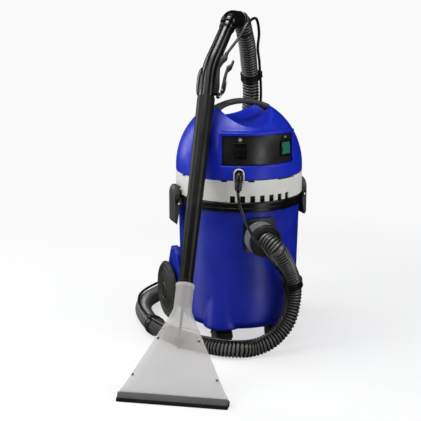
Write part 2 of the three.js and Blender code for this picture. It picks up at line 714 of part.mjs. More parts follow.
// The wand's frame: x runs along the nozzle lip, z up the tube, and -y faces away from the machine.
const wandLip = new THREE.Vector3(Math.cos(rad(WAND.yaw)), Math.sin(rad(WAND.yaw)), 0);
const wandUp = new THREE.Vector3(
  -Math.sin(rad(WAND.yaw)) * Math.sin(rad(WAND.lean)),
  Math.cos(rad(WAND.yaw)) * Math.sin(rad(WAND.lean)),
  Math.cos(rad(WAND.lean)),
);
const wandBack = wandUp.clone().cross(wandLip);
const wandMatrix = new THREE.Matrix4().makeBasis(wandLip, wandBack, wandUp).setPosition(...WAND.foot);
const wand = new THREE.Group();
wand.applyMatrix4(wandMatrix);
machine.add(wand);

// A slab level with the floor, in the wand's frame, between two heights above the foot.
function floorSlab(z0, z1) {
  const geometry = new THREE.BoxGeometry(600, 600, z1 - z0).translate(0, 0, (z0 + z1) / 2);
  const back = new THREE.Matrix4().extractRotation(wandMatrix).invert();
  return solid(geometry.applyMatrix4(back));
}

// The nozzle's cross-section shrinks from the wide lip to the round neck.
function nozzleBlock(inset) {
  const { width, lip, neckStart, tubeStart } = WAND;
  const front = (z, a, b, y) => ({ z, y, a: a - inset, b: b - inset });
  return loft([
    front(lip - (inset > 0 ? 1 : 0), width - 2, 12, 4),
    front(40, width - 13, 12.5, 3.6), front(120, 86, 14, 2.5),
    front(190, 49, 17.5, 1), front(neckStart, 24, 23.5, 0), front(tubeStart, 23.5, 23.5, 0),
    { z: inset > 0 ? 320 : 310, y: 0, a: inset > 0 ? 18.9 : 23.5, b: inset > 0 ? 18.9 : 23.5 },
  ], 20);
}

function nozzle() {
  const mouth = { z: WAND.tubeStart + 0.1, y: 0, a: 19.2, b: 19.2 };
  const socket = loft([mouth, { ...mouth, z: 330 }], 20);
  const jetHole = box(-13.5, 13.5, -6, 8.5, 149.5, 167.5);
  const shell = cut(nozzleBlock(0), nozzleBlock(3), socket);
  const screwHoles = screwPlaces().map(([x, z, y]) => join(
    bar([x, y - 6, z], [x, y + 8, z], 2.5, 2.5, 8),
    bar([x, y - 6, z], [x, y - 0.8, z], 4.2, 4.2, 8),
  ));
  const frontHalf = cut(shell, box(-200, 200, -GAP / 2, 100, -50, 400), ...screwHoles);
  piece('nozzle_front_shell', frontHalf, 'clear', wand);
  const backHalf = cut(shell, box(-200, 200, -100, GAP / 2, -50, 400), ...screwHoles);
  piece('nozzle_back_shell', backHalf, 'clear', wand);
  piece('spray_jet', cut(jetHole, bar([0, -8, 158], [0, 10, 158], 2.5, 2.5, 12)), 'black', wand);
  const half = WAND.width;
  const slot = box(-half + 12, half - 12, 0, 8, -60, 60);
  const block = cut(box(-half, half, -9, 17, -40, 20), slot);
  piece('nozzle_lip', cut(block, floorSlab(-80, 8.3)), 'grey', wand);
  const foot = cut(box(-half - 1, half + 1, -10, 18, -40, 20), slot);
  piece('lip_rubber', foot.intersect(floorSlab(0, 8)), 'rubber', wand);
  screwPlaces().forEach(([x, z, y], i) => {
    const screw = join(
      bar([x, y - 3.4, z], [x, y - 1.2, z], 3.6, 3.6, 8),
      bar([x, y - 2, z], [x, y + 5, z], 2.1, 2.1, 8),
    );
    piece(`nozzle_screw_${i + 1}`, screw, 'steel', wand);
  });
}

// Screw places on the nozzle's front face: across, up the nozzle, and the depth of the face there.
function screwPlaces() {
  const places = [];
  for (const [x, z, a, b, y] of [[53, 162, 64, 15.9, 1.6], [108, 67, 114, 13, 3.2]]) {
    const depth = y - b * Math.sqrt(1 - (x / a) ** 2);
    places.push([-x, z, depth], [x, z, depth]);
  }
  return places;
}

const gripEnd = [0, 1, 2].map((k) => (k === 2 ? WAND.bend : 0) + WAND.gripLength * WAND.gripTurn[k]);

function gripOutside(grow = 0) {
  const { gripStart, bend } = WAND;
  const end = new THREE.Vector3(...gripEnd);
  const turn = new THREE.Vector3(...WAND.gripTurn);
  const bandStart = end.clone().addScaledVector(turn, -15).toArray();
  return join(
    bar([0, 0, gripStart], [0, 0, bend], 22.3 + grow, 21 + grow, 16),
    ball([0, 0, bend], 21 + grow, 14),
    bar([0, 0, bend], gripEnd, 21 + grow, 19.5 + grow, 16),
    bar(bandStart, gripEnd, 22.5 + grow, 22.5 + grow, 16),
  );
}

function grip() {
  const { gripStart, bend } = WAND;
  const turn = new THREE.Vector3(...WAND.gripTurn);
  const past = new THREE.Vector3(...gripEnd).addScaledVector(turn, 5).toArray();
  const egg = new THREE.SphereGeometry(1, 12, 8).rotateX(Math.PI / 2).scale(20, 16, 52);
  const bulge = solid(egg.translate(-11, -2, 888));
  const bore = join(
    bar([0, 0, gripStart - 5], [0, 0, bend], 16.5, 16.5, 12),
    ball([0, 0, bend], 16.5, 12),
    bar([0, 0, bend], past, 16.5, 16.5, 12),
  );
  piece('grip', cut(join(gripOutside(), bulge), bore), 'black', wand);
}

// The valve and its lever sit on the inner side of the grip, turned a little towards the machine.
function trigger() {
  const place = new THREE.Group();
  place.rotation.z = rad(WAND.side);
  wand.add(place);
  const turned = (body) => turnZ(body, -WAND.side);
  const housing = [
    [16, 950], [34, 974], [47, 972], [47, 964], [38, 953], [29, 935], [30.5, 905], [33, 880],
    [33.5, 868], [30, 852], [16, 852],
  ];
  const valve = join(slabXZ(housing, -8, 8), bar([37, 0, 858], [30, 0, 843], 5.5, 5));
  const open = bar([40.5, -20, 866], [40.5, 20, 866], 6.2, 6.2, 16);
  piece('valve_body', cut(valve, turned(gripOutside(GAP)), open), 'black', place);
  const lever = [
    [36.8, 866], [39, 860.5], [45, 858], [49, 864], [49, 898], [52, 925], [62, 937], [67, 958], [61, 962],
    [57, 949], [47, 941], [41, 908], [38.4, 880],
  ];
  piece('trigger_lever', slabXZ(lever, -7, 7), 'grey', place);
}

function wandTube() {
  const { tubeStart, tubeEnd } = WAND;
  const wall = 1.6;
  const [thin, wide] = [18.1, 24.6];
  const tube = bar([0, 0, tubeStart], [0, 0, tubeEnd], thin, wide, 24);
  return cut(tube, bar([0, 0, tubeStart - 5], [0, 0, tubeEnd + 5], thin - wall, wide - wall, 24));
}

function onWand(x, y, z) {
  return new THREE.Vector3(x, y, z).applyMatrix4(wandMatrix);
}

// The elbow that joins the top of the grip to the suction hose.
function hoseCuff() {
  const turn = new THREE.Vector3(...WAND.gripTurn).transformDirection(wandMatrix);
  const start = onWand(...gripEnd).addScaledVector(turn, GAP);
  const corner = start.clone().addScaledVector(turn, 26);
  const hoseEnd = hoseCurve.getPointAt(1);
  const out = hoseCurve.getTangentAt(1);
  const end = hoseEnd.clone().addScaledVector(out, 0.5);
  const crown = end.clone().addScaledVector(out, 46);
  const points = [start, corner, crown, end].map((p) => p.toArray());
  const past = [start.clone().addScaledVector(turn, -4), corner, crown, end.clone().addScaledVector(out, -4)];
  return cut(bentBar(points, 26, 10), bentBar(past.map((p) => p.toArray()), 18, 8));
}

// The last length of thin hose leaves the top clip, loops over the elbow and drops to the valve.
function solutionTail() {
  const leave = new THREE.CatmullRomCurve3(thinPoints);
  const start = leave.getPointAt(1).addScaledVector(leave.getTangentAt(1), 0.6);
  const ahead = start.clone().addScaledVector(leave.getTangentAt(1), 28);
  const valveTop = onWand(39.5, 10.6, 974.6);
  const above = onWand(48, 12, 992);
  const loop = [[106, 128, 762], [103, 112, 806], [72, 62, 851], [38, 33, 841], [2, 16, 799]];
  const points = [start, ahead, ...loop.map((p) => new THREE.Vector3(...p)), above, valveTop];
  return sweep(new THREE.CatmullRomCurve3(points), THIN.radius, 0, 30, 2);
}

function buildWand() {
  nozzle();
  piece('wand_tube', wandTube(), 'black', wand);
  grip();
  trigger();
  piece('hose_cuff', hoseCuff(), 'black');
  piece('solution_hose_tail', solutionTail(), 'black');
}

// ---------------------------------------------------------------- the whole machine

tank();
solutionTank();
latches();
casters();
rearWheels();
rearCarriage();
hoses();
inlet();
head();
buildWand();

export default machine;
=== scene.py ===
# Spot extractor, looks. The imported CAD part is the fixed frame. This script dresses it with finished meshes
# and procedural materials, and adds a plain studio. Shapes are written in millimetres and stored in metres.
import json
import math

import bmesh
import bpy
import numpy as np
from mathutils import Matrix, Vector


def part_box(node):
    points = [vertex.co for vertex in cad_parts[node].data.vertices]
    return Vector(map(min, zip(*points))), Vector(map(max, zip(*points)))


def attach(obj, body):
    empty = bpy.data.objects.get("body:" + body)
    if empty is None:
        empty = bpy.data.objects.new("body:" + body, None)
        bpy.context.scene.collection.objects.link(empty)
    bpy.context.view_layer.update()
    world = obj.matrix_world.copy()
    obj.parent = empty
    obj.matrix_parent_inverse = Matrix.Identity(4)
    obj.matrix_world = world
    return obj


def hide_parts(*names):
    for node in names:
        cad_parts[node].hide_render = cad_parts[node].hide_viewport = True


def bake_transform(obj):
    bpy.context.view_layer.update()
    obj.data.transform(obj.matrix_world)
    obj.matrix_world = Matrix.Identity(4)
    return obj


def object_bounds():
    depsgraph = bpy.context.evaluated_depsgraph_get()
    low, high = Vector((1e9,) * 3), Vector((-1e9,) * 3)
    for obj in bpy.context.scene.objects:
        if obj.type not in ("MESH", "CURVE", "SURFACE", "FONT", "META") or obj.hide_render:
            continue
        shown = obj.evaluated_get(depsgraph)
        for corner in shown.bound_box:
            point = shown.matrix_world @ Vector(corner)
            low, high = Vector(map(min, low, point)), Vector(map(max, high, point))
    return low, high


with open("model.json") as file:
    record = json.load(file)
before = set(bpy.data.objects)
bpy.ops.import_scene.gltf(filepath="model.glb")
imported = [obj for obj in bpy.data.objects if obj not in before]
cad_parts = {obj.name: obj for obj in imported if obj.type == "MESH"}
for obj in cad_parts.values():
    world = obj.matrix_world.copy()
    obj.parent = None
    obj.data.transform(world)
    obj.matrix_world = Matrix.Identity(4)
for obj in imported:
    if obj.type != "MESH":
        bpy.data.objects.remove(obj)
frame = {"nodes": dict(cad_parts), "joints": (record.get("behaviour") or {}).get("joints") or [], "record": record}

CAD_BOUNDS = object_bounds()
MM = 0.001

# ------------------------------------------------------------------ driving dimensions


def box_mm(node):
    low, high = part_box(node)
    return np.array(low) / MM, np.array(high) / MM


def joint(name):
    return next(j for j in frame["joints"] if j["name"] == name)


FLOOR = CAD_BOUNDS[0][2] / MM
RIM_Z = (box_mm("rim_ring")[0][2], box_mm("rim_ring")[1][2])
RIM_R = box_mm("rim_ring")[1][1]
RING_R = box_mm("head_ring")[1][1]
RING_Z = (box_mm("head_ring")[0][2], 431.7)
DOME_Z = box_mm("head_dome")[0][2]
DOME_R = box_mm("head_dome")[1][0]
DOME_CENTRE = 445.0
DOME_HEIGHT = 191.0
CHANNEL = {"half": 76.0, "floor": 570.0, "centre": 622.0}
HOUSING = {"r": 174.0, "angle": 40.0, "z": (465.0, 562.0)}
PANEL = {"r": 168.0, "angle": 37.0, "z": (471.0, 553.0)}
SWITCH_Z = joint("vacuum_switch_rock")["pos_m"][2] / MM
SWITCHES = {"vacuum": {"angle": -20.0, "width": 38.0}, "pump": {"angle": 27.5, "width": 42.0}}
SWITCH_H = 44.0
OUTLET_ANGLE = -21.0
ARCH_Z = 451.0
ARCH_HALF = 15.3
VENTS = {"count": 7, "width": 14.0, "top": 390.0, "step": 8.8}
SHORT_SLOTS = (-79, -34, -10)
LONG_SLOT = 26
INLET = {"x": -8.0, "z": 274.0, "wall": -172.0}
HUB = np.array(joint("rear_right_roll")["pos_m"]) / MM
WHEEL_INNER = box_mm("rear_tyre_right")[0][0]
CASTER = np.array(joint("caster_right_swivel")["pos_m"]) / MM
CASTER_HUB = np.array(joint("caster_right_roll")["pos_m"]) / MM

# ------------------------------------------------------------------ mesh helpers


def new_object(name, verts, faces, smooth=True):
    mesh = bpy.data.meshes.new(name)
    mesh.from_pydata([tuple(float(c) * MM for c in v) for v in verts], [], [tuple(f) for f in faces])
    mesh.validate()
    work = bmesh.new()
    work.from_mesh(mesh)
    bmesh.ops.remove_doubles(work, verts=work.verts, dist=1e-6)
    bmesh.ops.recalc_face_normals(work, faces=work.faces)
    work.to_mesh(mesh)
    work.free()
    obj = bpy.data.objects.new(name, mesh)
    bpy.context.scene.collection.objects.link(obj)
    if smooth:
        mesh.polygons.foreach_set("use_smooth", [True] * len(mesh.polygons))
    return obj


def rows_to_faces(rows, count, closed_rows=False):
    """Quads between rings of count points each; closed_rows joins the last ring to the first."""
    faces = []
    for i in range(rows if closed_rows else rows - 1):
        for j in range(count):
            near, far = i * count, ((i + 1) % rows) * count
            after = (j + 1) % count
            faces.append((near + j, near + after, far + after, far + j))
    return faces


def end_caps(rows, count):
    """The two faces that close a skin of this many rings."""
    return [tuple(reversed(range(count))), tuple(range((rows - 1) * count, rows * count))]


def ring(radius, z, count):
    """Points round a level circle about Z."""
    angles = [2 * math.pi * k / count for k in range(count)]
    return [(radius * math.cos(a), radius * math.sin(a), z) for a in angles]


def squircle(angle, half_x, half_y, power):
    """A point on a rounded rectangle: power 2 is an ellipse, and a higher power is squarer."""
    c, s = math.cos(angle), math.sin(angle)
    x = half_x * math.copysign(abs(c) ** (2 / power), c)
    y = half_y * math.copysign(abs(s) ** (2 / power), s)
    return x, y


def rounded(points, radius, steps=4, closed=True):
    """An outline with each corner replaced by a short arc. radius is one number, or one per corner."""
    n = len(points)
    radii = [radius] * n if np.isscalar(radius) else radius
    pts = [np.array(p, float) for p in points]
    out = []
    for i, p in enumerate(pts):
        if radii[i] <= 0 or (not closed and i in (0, n - 1)):
            out.append(tuple(p))
            continue
        a, b = pts[i - 1] - p, pts[(i + 1) % n] - p
        la, lb = np.linalg.norm(a), np.linalg.norm(b)
        a, b = a / la, b / lb
        half = math.acos(max(-1, min(1, float(a @ b)))) / 2
        reach = min(radii[i] / math.tan(half), 0.49 * la, 0.49 * lb)
        start, end = p + a * reach, p + b * reach
        for k in range(steps + 1):
            t = k / steps
            out.append(tuple((1 - t) ** 2 * start + 2 * t * (1 - t) * p + t ** 2 * end))
    return out


def lathe(name, profile, segments=96, closed=False):
    """A profile of (radius, height) turned about Z."""
    verts = [point for r, z in profile for point in ring(r, z, segments)]
    return new_object(name, verts, rows_to_faces(len(profile), segments, closed_rows=closed))


def prism(name, outline, depth, bevel=0.0, steps=3):
    """An outline in XY made thick from z 0 to depth, with its edges rounded."""
    n = len(outline)
    verts = [(x, y, 0) for x, y in outline] + [(x, y, depth) for x, y in outline]
    faces = [tuple(reversed(range(n))), tuple(range(n, 2 * n))]
    faces += [(i, (i + 1) % n, n + (i + 1) % n, n + i) for i in range(n)]
    obj = new_object(name, verts, faces, smooth=False)
    if bevel:
        soften(obj, bevel, steps)
    return obj


def brick(name, low, high, bevel=1.0, steps=3):
    """A box with rounded edges between two corners."""
    (x0, y0, z0), (x1, y1, z1) = low, high
    obj = prism(name, [(x0, y0), (x1, y0), (x1, y1), (x0, y1)], z1 - z0)
    shift(obj, (0, 0, z0))
    if bevel:
        soften(obj, bevel, steps)
    return obj


def loft(name, sections, sides=40):
    """A closed skin over stacked ellipses (z, x, y, half_x, half_y)."""
    angles = [2 * math.pi * k / sides for k in range(sides)]
    verts = [(x + a * math.cos(t), y + b * math.sin(t), z) for z, x, y, a, b in sections for t in angles]
    return new_object(name, verts, rows_to_faces(len(sections), sides) + end_caps(len(sections), sides))


def transform(obj, matrix):
    obj.data.transform(matrix)
    if matrix.determinant() < 0:
        obj.data.flip_normals()
    obj.data.update()
    return obj


def shift(obj, offset, aim=None):
    """Moves a mesh, after turning it by aim if there is one."""
    move = Matrix.Translation(Vector(offset) * MM)
    return transform(obj, move @ aim if aim else move)


def pointing(direction):
    """The turn that takes the Z axis to this direction."""
    return Vector((0, 0, 1)).rotation_difference(Vector(direction)).to_matrix().to_4x4()


def turn(obj, degrees, axis, about=(0, 0, 0)):
    centre = Matrix.Translation(Vector(about) * MM)
    return transform(obj, centre @ Matrix.Rotation(math.radians(degrees), 4, axis) @ centre.inverted())


def facing_front(obj, x=0.0, y=0.0, z=0.0):
    """Stands an outline up: its second axis becomes height, and its thickness runs forward from (x, y, z)."""
    return transform(obj, Matrix(((1, 0, 0, x * MM), (0, 0, -1, y * MM), (0, 1, 0, z * MM), (0, 0, 0, 1))))


def facing_side(obj, x):
    """Stands an outline up: its axes become depth and height, and its thickness runs along X from x."""
    return transform(obj, Matrix(((0, 0, 1, x * MM), (1, 0, 0, 0), (0, 1, 0, 0), (0, 0, 0, 1))))


def apply_all(obj):
    """Replaces the mesh by the one that its modifiers give."""
    graph = bpy.context.evaluated_depsgraph_get()
    mesh = bpy.data.meshes.new_from_object(obj.evaluated_get(graph))
    obj.modifiers.clear()
    old = obj.data
    obj.data = mesh
    mesh.name = obj.name
    bpy.data.meshes.remove(old)
    return obj


def crisp(obj, degrees=35):
    """Smooth shading, broken at corners sharper than this."""
    obj.data.polygons.foreach_set("use_smooth", [True] * len(obj.data.polygons))
    obj.data.set_sharp_from_angle(angle=math.radians(degrees))
    return obj


def soften(obj, width, steps=3, angle=30):
    """Rounds every corner sharper than angle, and keeps the flats flat in shading."""
    bevel = obj.modifiers.new("round", "BEVEL")
    bevel.width = width * MM
    bevel.segments = steps
    bevel.limit_method = "ANGLE"
    bevel.angle_limit = math.radians(angle)
    bevel.harden_normals = False
    apply_all(obj)
    return crisp(obj, 50)


def carve(obj, *tools, operation="DIFFERENCE"):
    for tool in tools:
        step = obj.modifiers.new("carve", "BOOLEAN")
        step.operation = operation
        step.solver = "EXACT"
        step.object = tool
        apply_all(obj)
    for tool in tools:
        bpy.data.objects.remove(tool)
    return obj


def remesh(obj, voxel, smooth=3):
    """One even skin over all that the object holds, with its creases softened as a moulding's are."""
    step = obj.modifiers.new("skin", "REMESH")
    step.mode = "VOXEL"
    step.voxel_size = voxel * MM
    step.use_smooth_shade = True
    if smooth:
        relax = obj.modifiers.new("relax", "SMOOTH")
        relax.factor = 0.5
        relax.iterations = smooth
    return apply_all(obj)


def merged(name, *objects):
    """One mesh object holding all of these."""
    work = bmesh.new()
    for obj in objects:
        work.from_mesh(obj.data)
    mesh = bpy.data.meshes.new(name)
    work.to_mesh(mesh)
    work.free()
    result = bpy.data.objects.new(name, mesh)
    bpy.context.scene.collection.objects.link(result)
    for obj in objects:
        bpy.data.objects.remove(obj)
    mesh.polygons.foreach_set("use_smooth", [True] * len(mesh.polygons))
    return result


def rod(name, a, b, r0, r1=None, sides=32, rounding=0.0):
    """A round bar from a to b, its ends rounded."""
    a, b = Vector(a), Vector(b)
    r1 = r0 if r1 is None else r1
    length = (b - a).length
    profile = [(0, 0), (r0, 0), (r1, length), (0, length)]
    obj = lathe(name, rounded(profile, [0, rounding, rounding, 0], 4, closed=False), sides)
    return crisp(shift(obj, a, pointing((b - a).normalized())), 40)


def catmull(points, per_span=12):
    """Points along the centripetal Catmull-Rom curve through these points."""
    p = [np.array(q, float) for q in points]
    p = [2 * p[0] - p[1]] + p + [2 * p[-1] - p[-2]]
    out = []
    for i in range(len(p) - 3):
        a, b, c, d = p[i:i + 4]
        d0, d1, d2 = [max(np.linalg.norm(v) ** 0.5, 1e-4) for v in (b - a, c - b, d - c)]
        m1 = ((b - a) / d0 - (c - a) / (d0 + d1) + (c - b) / d1) * d1
        m2 = ((c - b) / d1 - (d - b) / (d1 + d2) + (d - c) / d2) * d1
        for k in range(per_span):
            t = k / per_span
            h = (2 * t**3 - 3 * t**2 + 1, t**3 - 2 * t**2 + t, -2 * t**3 + 3 * t**2, t**3 - t**2)
            out.append(h[0] * b + h[1] * m1 + h[2] * c + h[3] * m2)
    out.append(p[-2])
    return np.array(out)


def resample(path, spacing):
    """The same path at even steps."""
    steps = np.linalg.norm(np.diff(path, axis=0), axis=1)
    along = np.concatenate([[0], np.cumsum(steps)])
    at = np.linspace(0, along[-1], max(2, int(round(along[-1] / spacing)) + 1))
    return np.column_stack([np.interp(at, along, path[:, k]) for k in range(3)])


def frames_along(path, first_side=None, start=0):
    """Tangents and two sides at each point, carried along without twist from the point numbered start."""
    tangent = np.gradient(path, axis=0)
    tangent /= np.linalg.norm(tangent, axis=1)[:, None]
    side = np.zeros_like(path)
    guess = np.array([0.3, 0.2, 1.0]) if first_side is None else np.array(first_side, float)
    for order in (range(start, len(path)), range(start, -1, -1)):
        held = guess
        for i in order:
            held = held - (held @ tangent[i]) * tangent[i]
            held = held / np.linalg.norm(held)
            side[i] = held
    return tangent, side, np.cross(tangent, side)


def tube(name, path, radius, sides=24, bore=None, caps=True):
    """A tube round a path. radius is one number, one per point, or one per point and side. bore makes it a
    pipe."""
    _, n, b = frames_along(path)
    angles = np.arange(sides) * 2 * math.pi / sides
    wheel = np.cos(angles)[None, :, None] * n[:, None, :] + np.sin(angles)[None, :, None] * b[:, None, :]
    radii = np.ones((len(path), sides)) * (np.array(radius)[:, None] if np.ndim(radius) == 1 else radius)
    rings = list(path[:, None, :] + radii[:, :, None] * wheel)
    if bore:
        rings += [path[i] + bore * wheel[i] for i in range(len(path) - 1, -1, -1)]
    faces = rows_to_faces(len(rings), sides, closed_rows=bool(bore))
    if caps and not bore:
        faces += end_caps(len(rings), sides)
    return new_object(name, np.concatenate(rings), faces)


def wedge(name, r0, r1, half_angle, z0, z1, per_degree=1.0):
    """A band of a cylinder about Z, centred on the front."""
    count = max(8, int(2 * half_angle * per_degree))
    angles = [math.radians(-90 - half_angle + 2 * half_angle * k / count) for k in range(count + 1)]
    outline = [(r1 * math.cos(a), r1 * math.sin(a)) for a in angles]
    outline += [(r0 * math.cos(a), r0 * math.sin(a)) for a in reversed(angles)]
    return shift(prism(name, outline, z1 - z0), (0, 0, z0))


def piece(obj, body, slot, *nodes, material=None):
    """Hands a finished mesh to a CAD body: its finish, and the CAD nodes it stands for."""
    obj.data.materials.clear()
    obj.data.materials.append(MATERIALS[material or slot])
    if nodes:
        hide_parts(*nodes)
    if body:
        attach(obj, body)
    return obj


# ------------------------------------------------------------------ finishes


def to_linear(value):
    c = value / 255
    return c / 12.92 if c <= 0.04045 else ((c + 0.055) / 1.055) ** 2.4


def add_node(tree, kind, **inputs):
    """A shader node with these inputs set; an underscore stands for a space."""
    made = tree.nodes.new("ShaderNode" + kind)
    for key, value in inputs.items():
        made.inputs[key.replace("_", " ")].default_value = value
    return made


def mixed_shaders(tree, factor, a, b, output):
    """Mixes two shaders by a factor, a number or a socket, into the output of a tree."""
    mix = tree.nodes.new("ShaderNodeMixShader")
    for value, socket in zip((factor, a, b), mix.inputs):
        if hasattr(value, "links"):
            tree.links.new(value, socket)
        else:
            socket.default_value = value
    tree.links.new(mix.outputs[0], tree.nodes[output].inputs["Surface"])


def product(tree, a, b):
    """The product of two outputs of a shader tree."""
    times = add_node(tree, "Math")
    times.operation = "MULTIPLY"
    tree.links.new(a, times.inputs[0])
    tree.links.new(b, times.inputs[1])
    return times.outputs["Value"]


DUST_HEIGHT = 70.0
DUST = (0.42, 0.38, 0.33, 1.0)


def finish(name, colour, rough, grain, grain_size, tone, metal=0.0, clear=0.0, dust=0.0, scuff=0.25, glow=0.0,
           shade=0.6, gleam=0.4):
    """A moulded or metal surface: fine grain in relief, uneven gloss, cloudy tone, painted shade in the hollows and
    paler worn corners. grain_size is in millimetres, and dust greys the surface towards the floor."""
    material = bpy.data.materials.new(name)
    material.use_nodes = True
    tree = material.node_tree
    shader = tree.nodes["Principled BSDF"]
    link = tree.links.new
    place = tree.nodes.new("ShaderNodeTexCoord").outputs["Object"]
    pointiness = tree.nodes.new("ShaderNodeNewGeometry").outputs["Pointiness"]

    def tint(gain, lift):
        return tuple(min(1.0, to_linear(c) * gain + lift) for c in colour) + (1.0,)

    def noise(size_mm, detail=3.0):
        node = add_node(tree, "TexNoise", Scale=1.0 / (size_mm * MM), Detail=detail)
        link(place, node.inputs["Vector"])
        return node.outputs["Fac"]

    def spread(value, low, high, start=0.35, end=0.65):
        node = add_node(tree, "MapRange", From_Min=start, From_Max=end, To_Min=low, To_Max=high)
        link(value, node.inputs["Value"])
        return node.outputs["Result"]

    def mixed(factor, a, b, blend="MIX"):
        node = tree.nodes.new("ShaderNodeMix")
        node.data_type = "RGBA"
        node.blend_type = blend
        sockets = {s.identifier: s for s in node.inputs}
        for value, key in ((factor, "Factor_Float"), (a, "A_Color"), (b, "B_Color")):
            if hasattr(value, "links"):
                link(value, sockets[key])
            else:
                sockets[key].default_value = value
        return next(s for s in node.outputs if s.identifier == "Result_Color")

    skin = mixed(spread(noise(70, 2.0), 0.0, 1.0), tint(1 - tone, 0.0), tint(1 + tone, 0.004))
    # Painted shade: where pointiness is low, the colour is multiplied by shade.
    hollow = mixed(1.0, skin, (shade, shade, shade, 1.0), "MULTIPLY")
    skin = mixed(spread(pointiness, 1.0, 0.0, 0.40, 0.495), skin, hollow)
    rubbed = product(tree, spread(pointiness, 0.0, 1.0, 0.53, 0.62), spread(noise(9, 4.0), 0.0, scuff, 0.5, 0.7))
    skin = mixed(rubbed, skin, tint(0.75, 0.12))
    if dust:
        height = tree.nodes.new("ShaderNodeSeparateXYZ")
        link(place, height.inputs["Vector"])
        low = spread(height.outputs["Z"], dust, 0.0, FLOOR * MM, (FLOOR + DUST_HEIGHT) * MM)
        skin = mixed(product(tree, low, spread(noise(5, 6.0), 0.2, 1.0)), skin, DUST)
    link(skin, shader.inputs["Base Color"])
    link(spread(noise(22, 5.0), rough[0], rough[1]), shader.inputs["Roughness"])
    bump = add_node(tree, "Bump", Strength=grain, Distance=0.0004)
    link(noise(grain_size, 2.0), bump.inputs["Height"])
    link(bump.outputs["Normal"], shader.inputs["Normal"])
    shader.inputs["Metallic"].default_value = metal
    shader.inputs["Specular IOR Level"].default_value = gleam
    if clear:
        passing = add_node(tree, "BsdfTransparent", Color=(0.93, 0.93, 0.95, 1.0))
        mixed_shaders(tree, clear, shader.outputs[0], passing.outputs[0], "Material Output")
    if glow:
        shader.inputs["Emission Color"].default_value = tint(1.0, 0.0)
        shader.inputs["Emission Strength"].default_value = glow
    return material


# Colour as seen, range of roughness, depth and size of the grain, cloudiness, and what else sets it apart.
FINISHES = {
    "blue_plastic": ((2, 29, 158), (0.32, 0.42), 0.04, 2.2, 0.04,
                     {"dust": 0.05, "scuff": 0.1, "shade": 0.8, "gleam": 0.22}),
    # A darker copy of blue_plastic for the tank and the rear carriage: painted shade.
    "shaded_blue": ((2, 25, 138), (0.32, 0.42), 0.04, 2.2, 0.04,
                  {"dust": 0.05, "scuff": 0.1, "shade": 0.8, "gleam": 0.22}),
    "light_grey_plastic": ((190, 190, 183), (0.45, 0.58), 0.06, 1.2, 0.03, {}),
    "black_plastic": ((9, 9, 9), (0.36, 0.5), 0.08, 1.2, 0.2, {"dust": 0.03, "scuff": 0.1, "gleam": 0.22}),
    "gloss_black": ((6, 6, 6), (0.26, 0.36), 0.02, 2.0, 0.2, {"scuff": 0.04, "gleam": 0.25}),
    "grip_black": ((6, 6, 6), (0.15, 0.22), 0.01, 2.0, 0.2, {"scuff": 0.04, "gleam": 0.25}),
    "fascia": ((22, 22, 23), (0.3, 0.4), 0.05, 1.0, 0.1, {"scuff": 0.08}),
    "hose_plastic": ((62, 62, 57), (0.34, 0.46), 0.06, 1.5, 0.12,
                     {"dust": 0.08, "scuff": 0.5, "shade": 0.4, "gleam": 0.7}),
    # Painted shade for the bottoms of the hose's ribs.
    "rib_valley_shade": ((6, 6, 6), (0.5, 0.6), 0.04, 1.5, 0.1, {"scuff": 0.0, "gleam": 0.1}),
    "tube_rubber": ((14, 14, 14), (0.22, 0.34), 0.03, 1.0, 0.15, {"dust": 0.1}),
    "lip_grey": ((76, 76, 77), (0.4, 0.5), 0.06, 1.0, 0.06, {}),
    "grey_plastic": ((38, 38, 35), (0.45, 0.58), 0.1, 1.0, 0.06, {"dust": 0.06}),
    "wheel_grey": ((36, 35, 32), (0.42, 0.55), 0.1, 1.2, 0.08, {"dust": 0.25}),
    "socket_grey": ((112, 113, 114), (0.3, 0.42), 0.06, 1.2, 0.04, {}),
    "tube_plastic": ((15, 15, 13), (0.3, 0.42), 0.04, 1.4, 0.1, {"scuff": 0.1, "gleam": 0.1}),
    "seal_rubber": ((6, 6, 6), (0.6, 0.75), 0.15, 1.0, 0.15, {"scuff": 0.03, "gleam": 0.1}),
    "tyre_rubber": ((20, 20, 20), (0.62, 0.8), 0.2, 1.2, 0.15, {"dust": 0.3}),
    "steel": ((168, 168, 166), (0.2, 0.36), 0.04, 0.8, 0.08, {"metal": 1.0}),
    "clear_plastic": ((190, 187, 182), (0.28, 0.4), 0.03, 1.8, 0.02, {"clear": 0.5, "scuff": 0.1, "shade": 0.95}),
    "green_lens": ((34, 92, 74), (0.16, 0.26), 0.03, 1.5, 0.06, {"glow": 0.12}),
    "white_plastic": ((222, 220, 212), (0.4, 0.55), 0.1, 1.2, 0.03, {}),
}
MATERIALS = {name: finish(name, *look[:-1], **look[-1]) for name, look in FINISHES.items()}

# ------------------------------------------------------------------ tank


TANK_FOOT = {"radius": 166.0, "corner": 26.0}
TANK_TOP = {"radius": 173.6, "z": 358.0}
POD = {"base": 58.0, "taper": 18.0 / 130, "edge": 10.0, "blend": 1.5}


def tank_radius(z):
    """The outside of the round wall: a rounded foot, then a wall that leans out slightly."""
    base, corner = TANK_FOOT["radius"], TANK_FOOT["corner"]
    if z < corner:
        return base - corner + math.sqrt(max(0.0, corner**2 - (corner - z) ** 2))
    return base + (TANK_TOP["radius"] - base) * (z - corner) / (TANK_TOP["z"] - corner)


def pod_reach(angle, z):
    """How far out the caster pods come at this angle."""
    best = 0.0
    for side in (-1, 1):
        centre = np.array([side * abs(CASTER[0]), CASTER[1]])
        away = np.linalg.norm(centre)
        off = angle - math.atan2(centre[1], centre[0])
        edge = POD["edge"]
        rounding = edge - math.sqrt(edge**2 - max(0.0, edge - z) ** 2)
        radius = POD["base"] - POD["taper"] * z - rounding
        inside = radius**2 - (away * math.sin(off)) ** 2
        if math.cos(off) > 0 and radius > 0 and inside > 0:
            best = max(best, away * math.cos(off) + math.sqrt(inside))
    return best


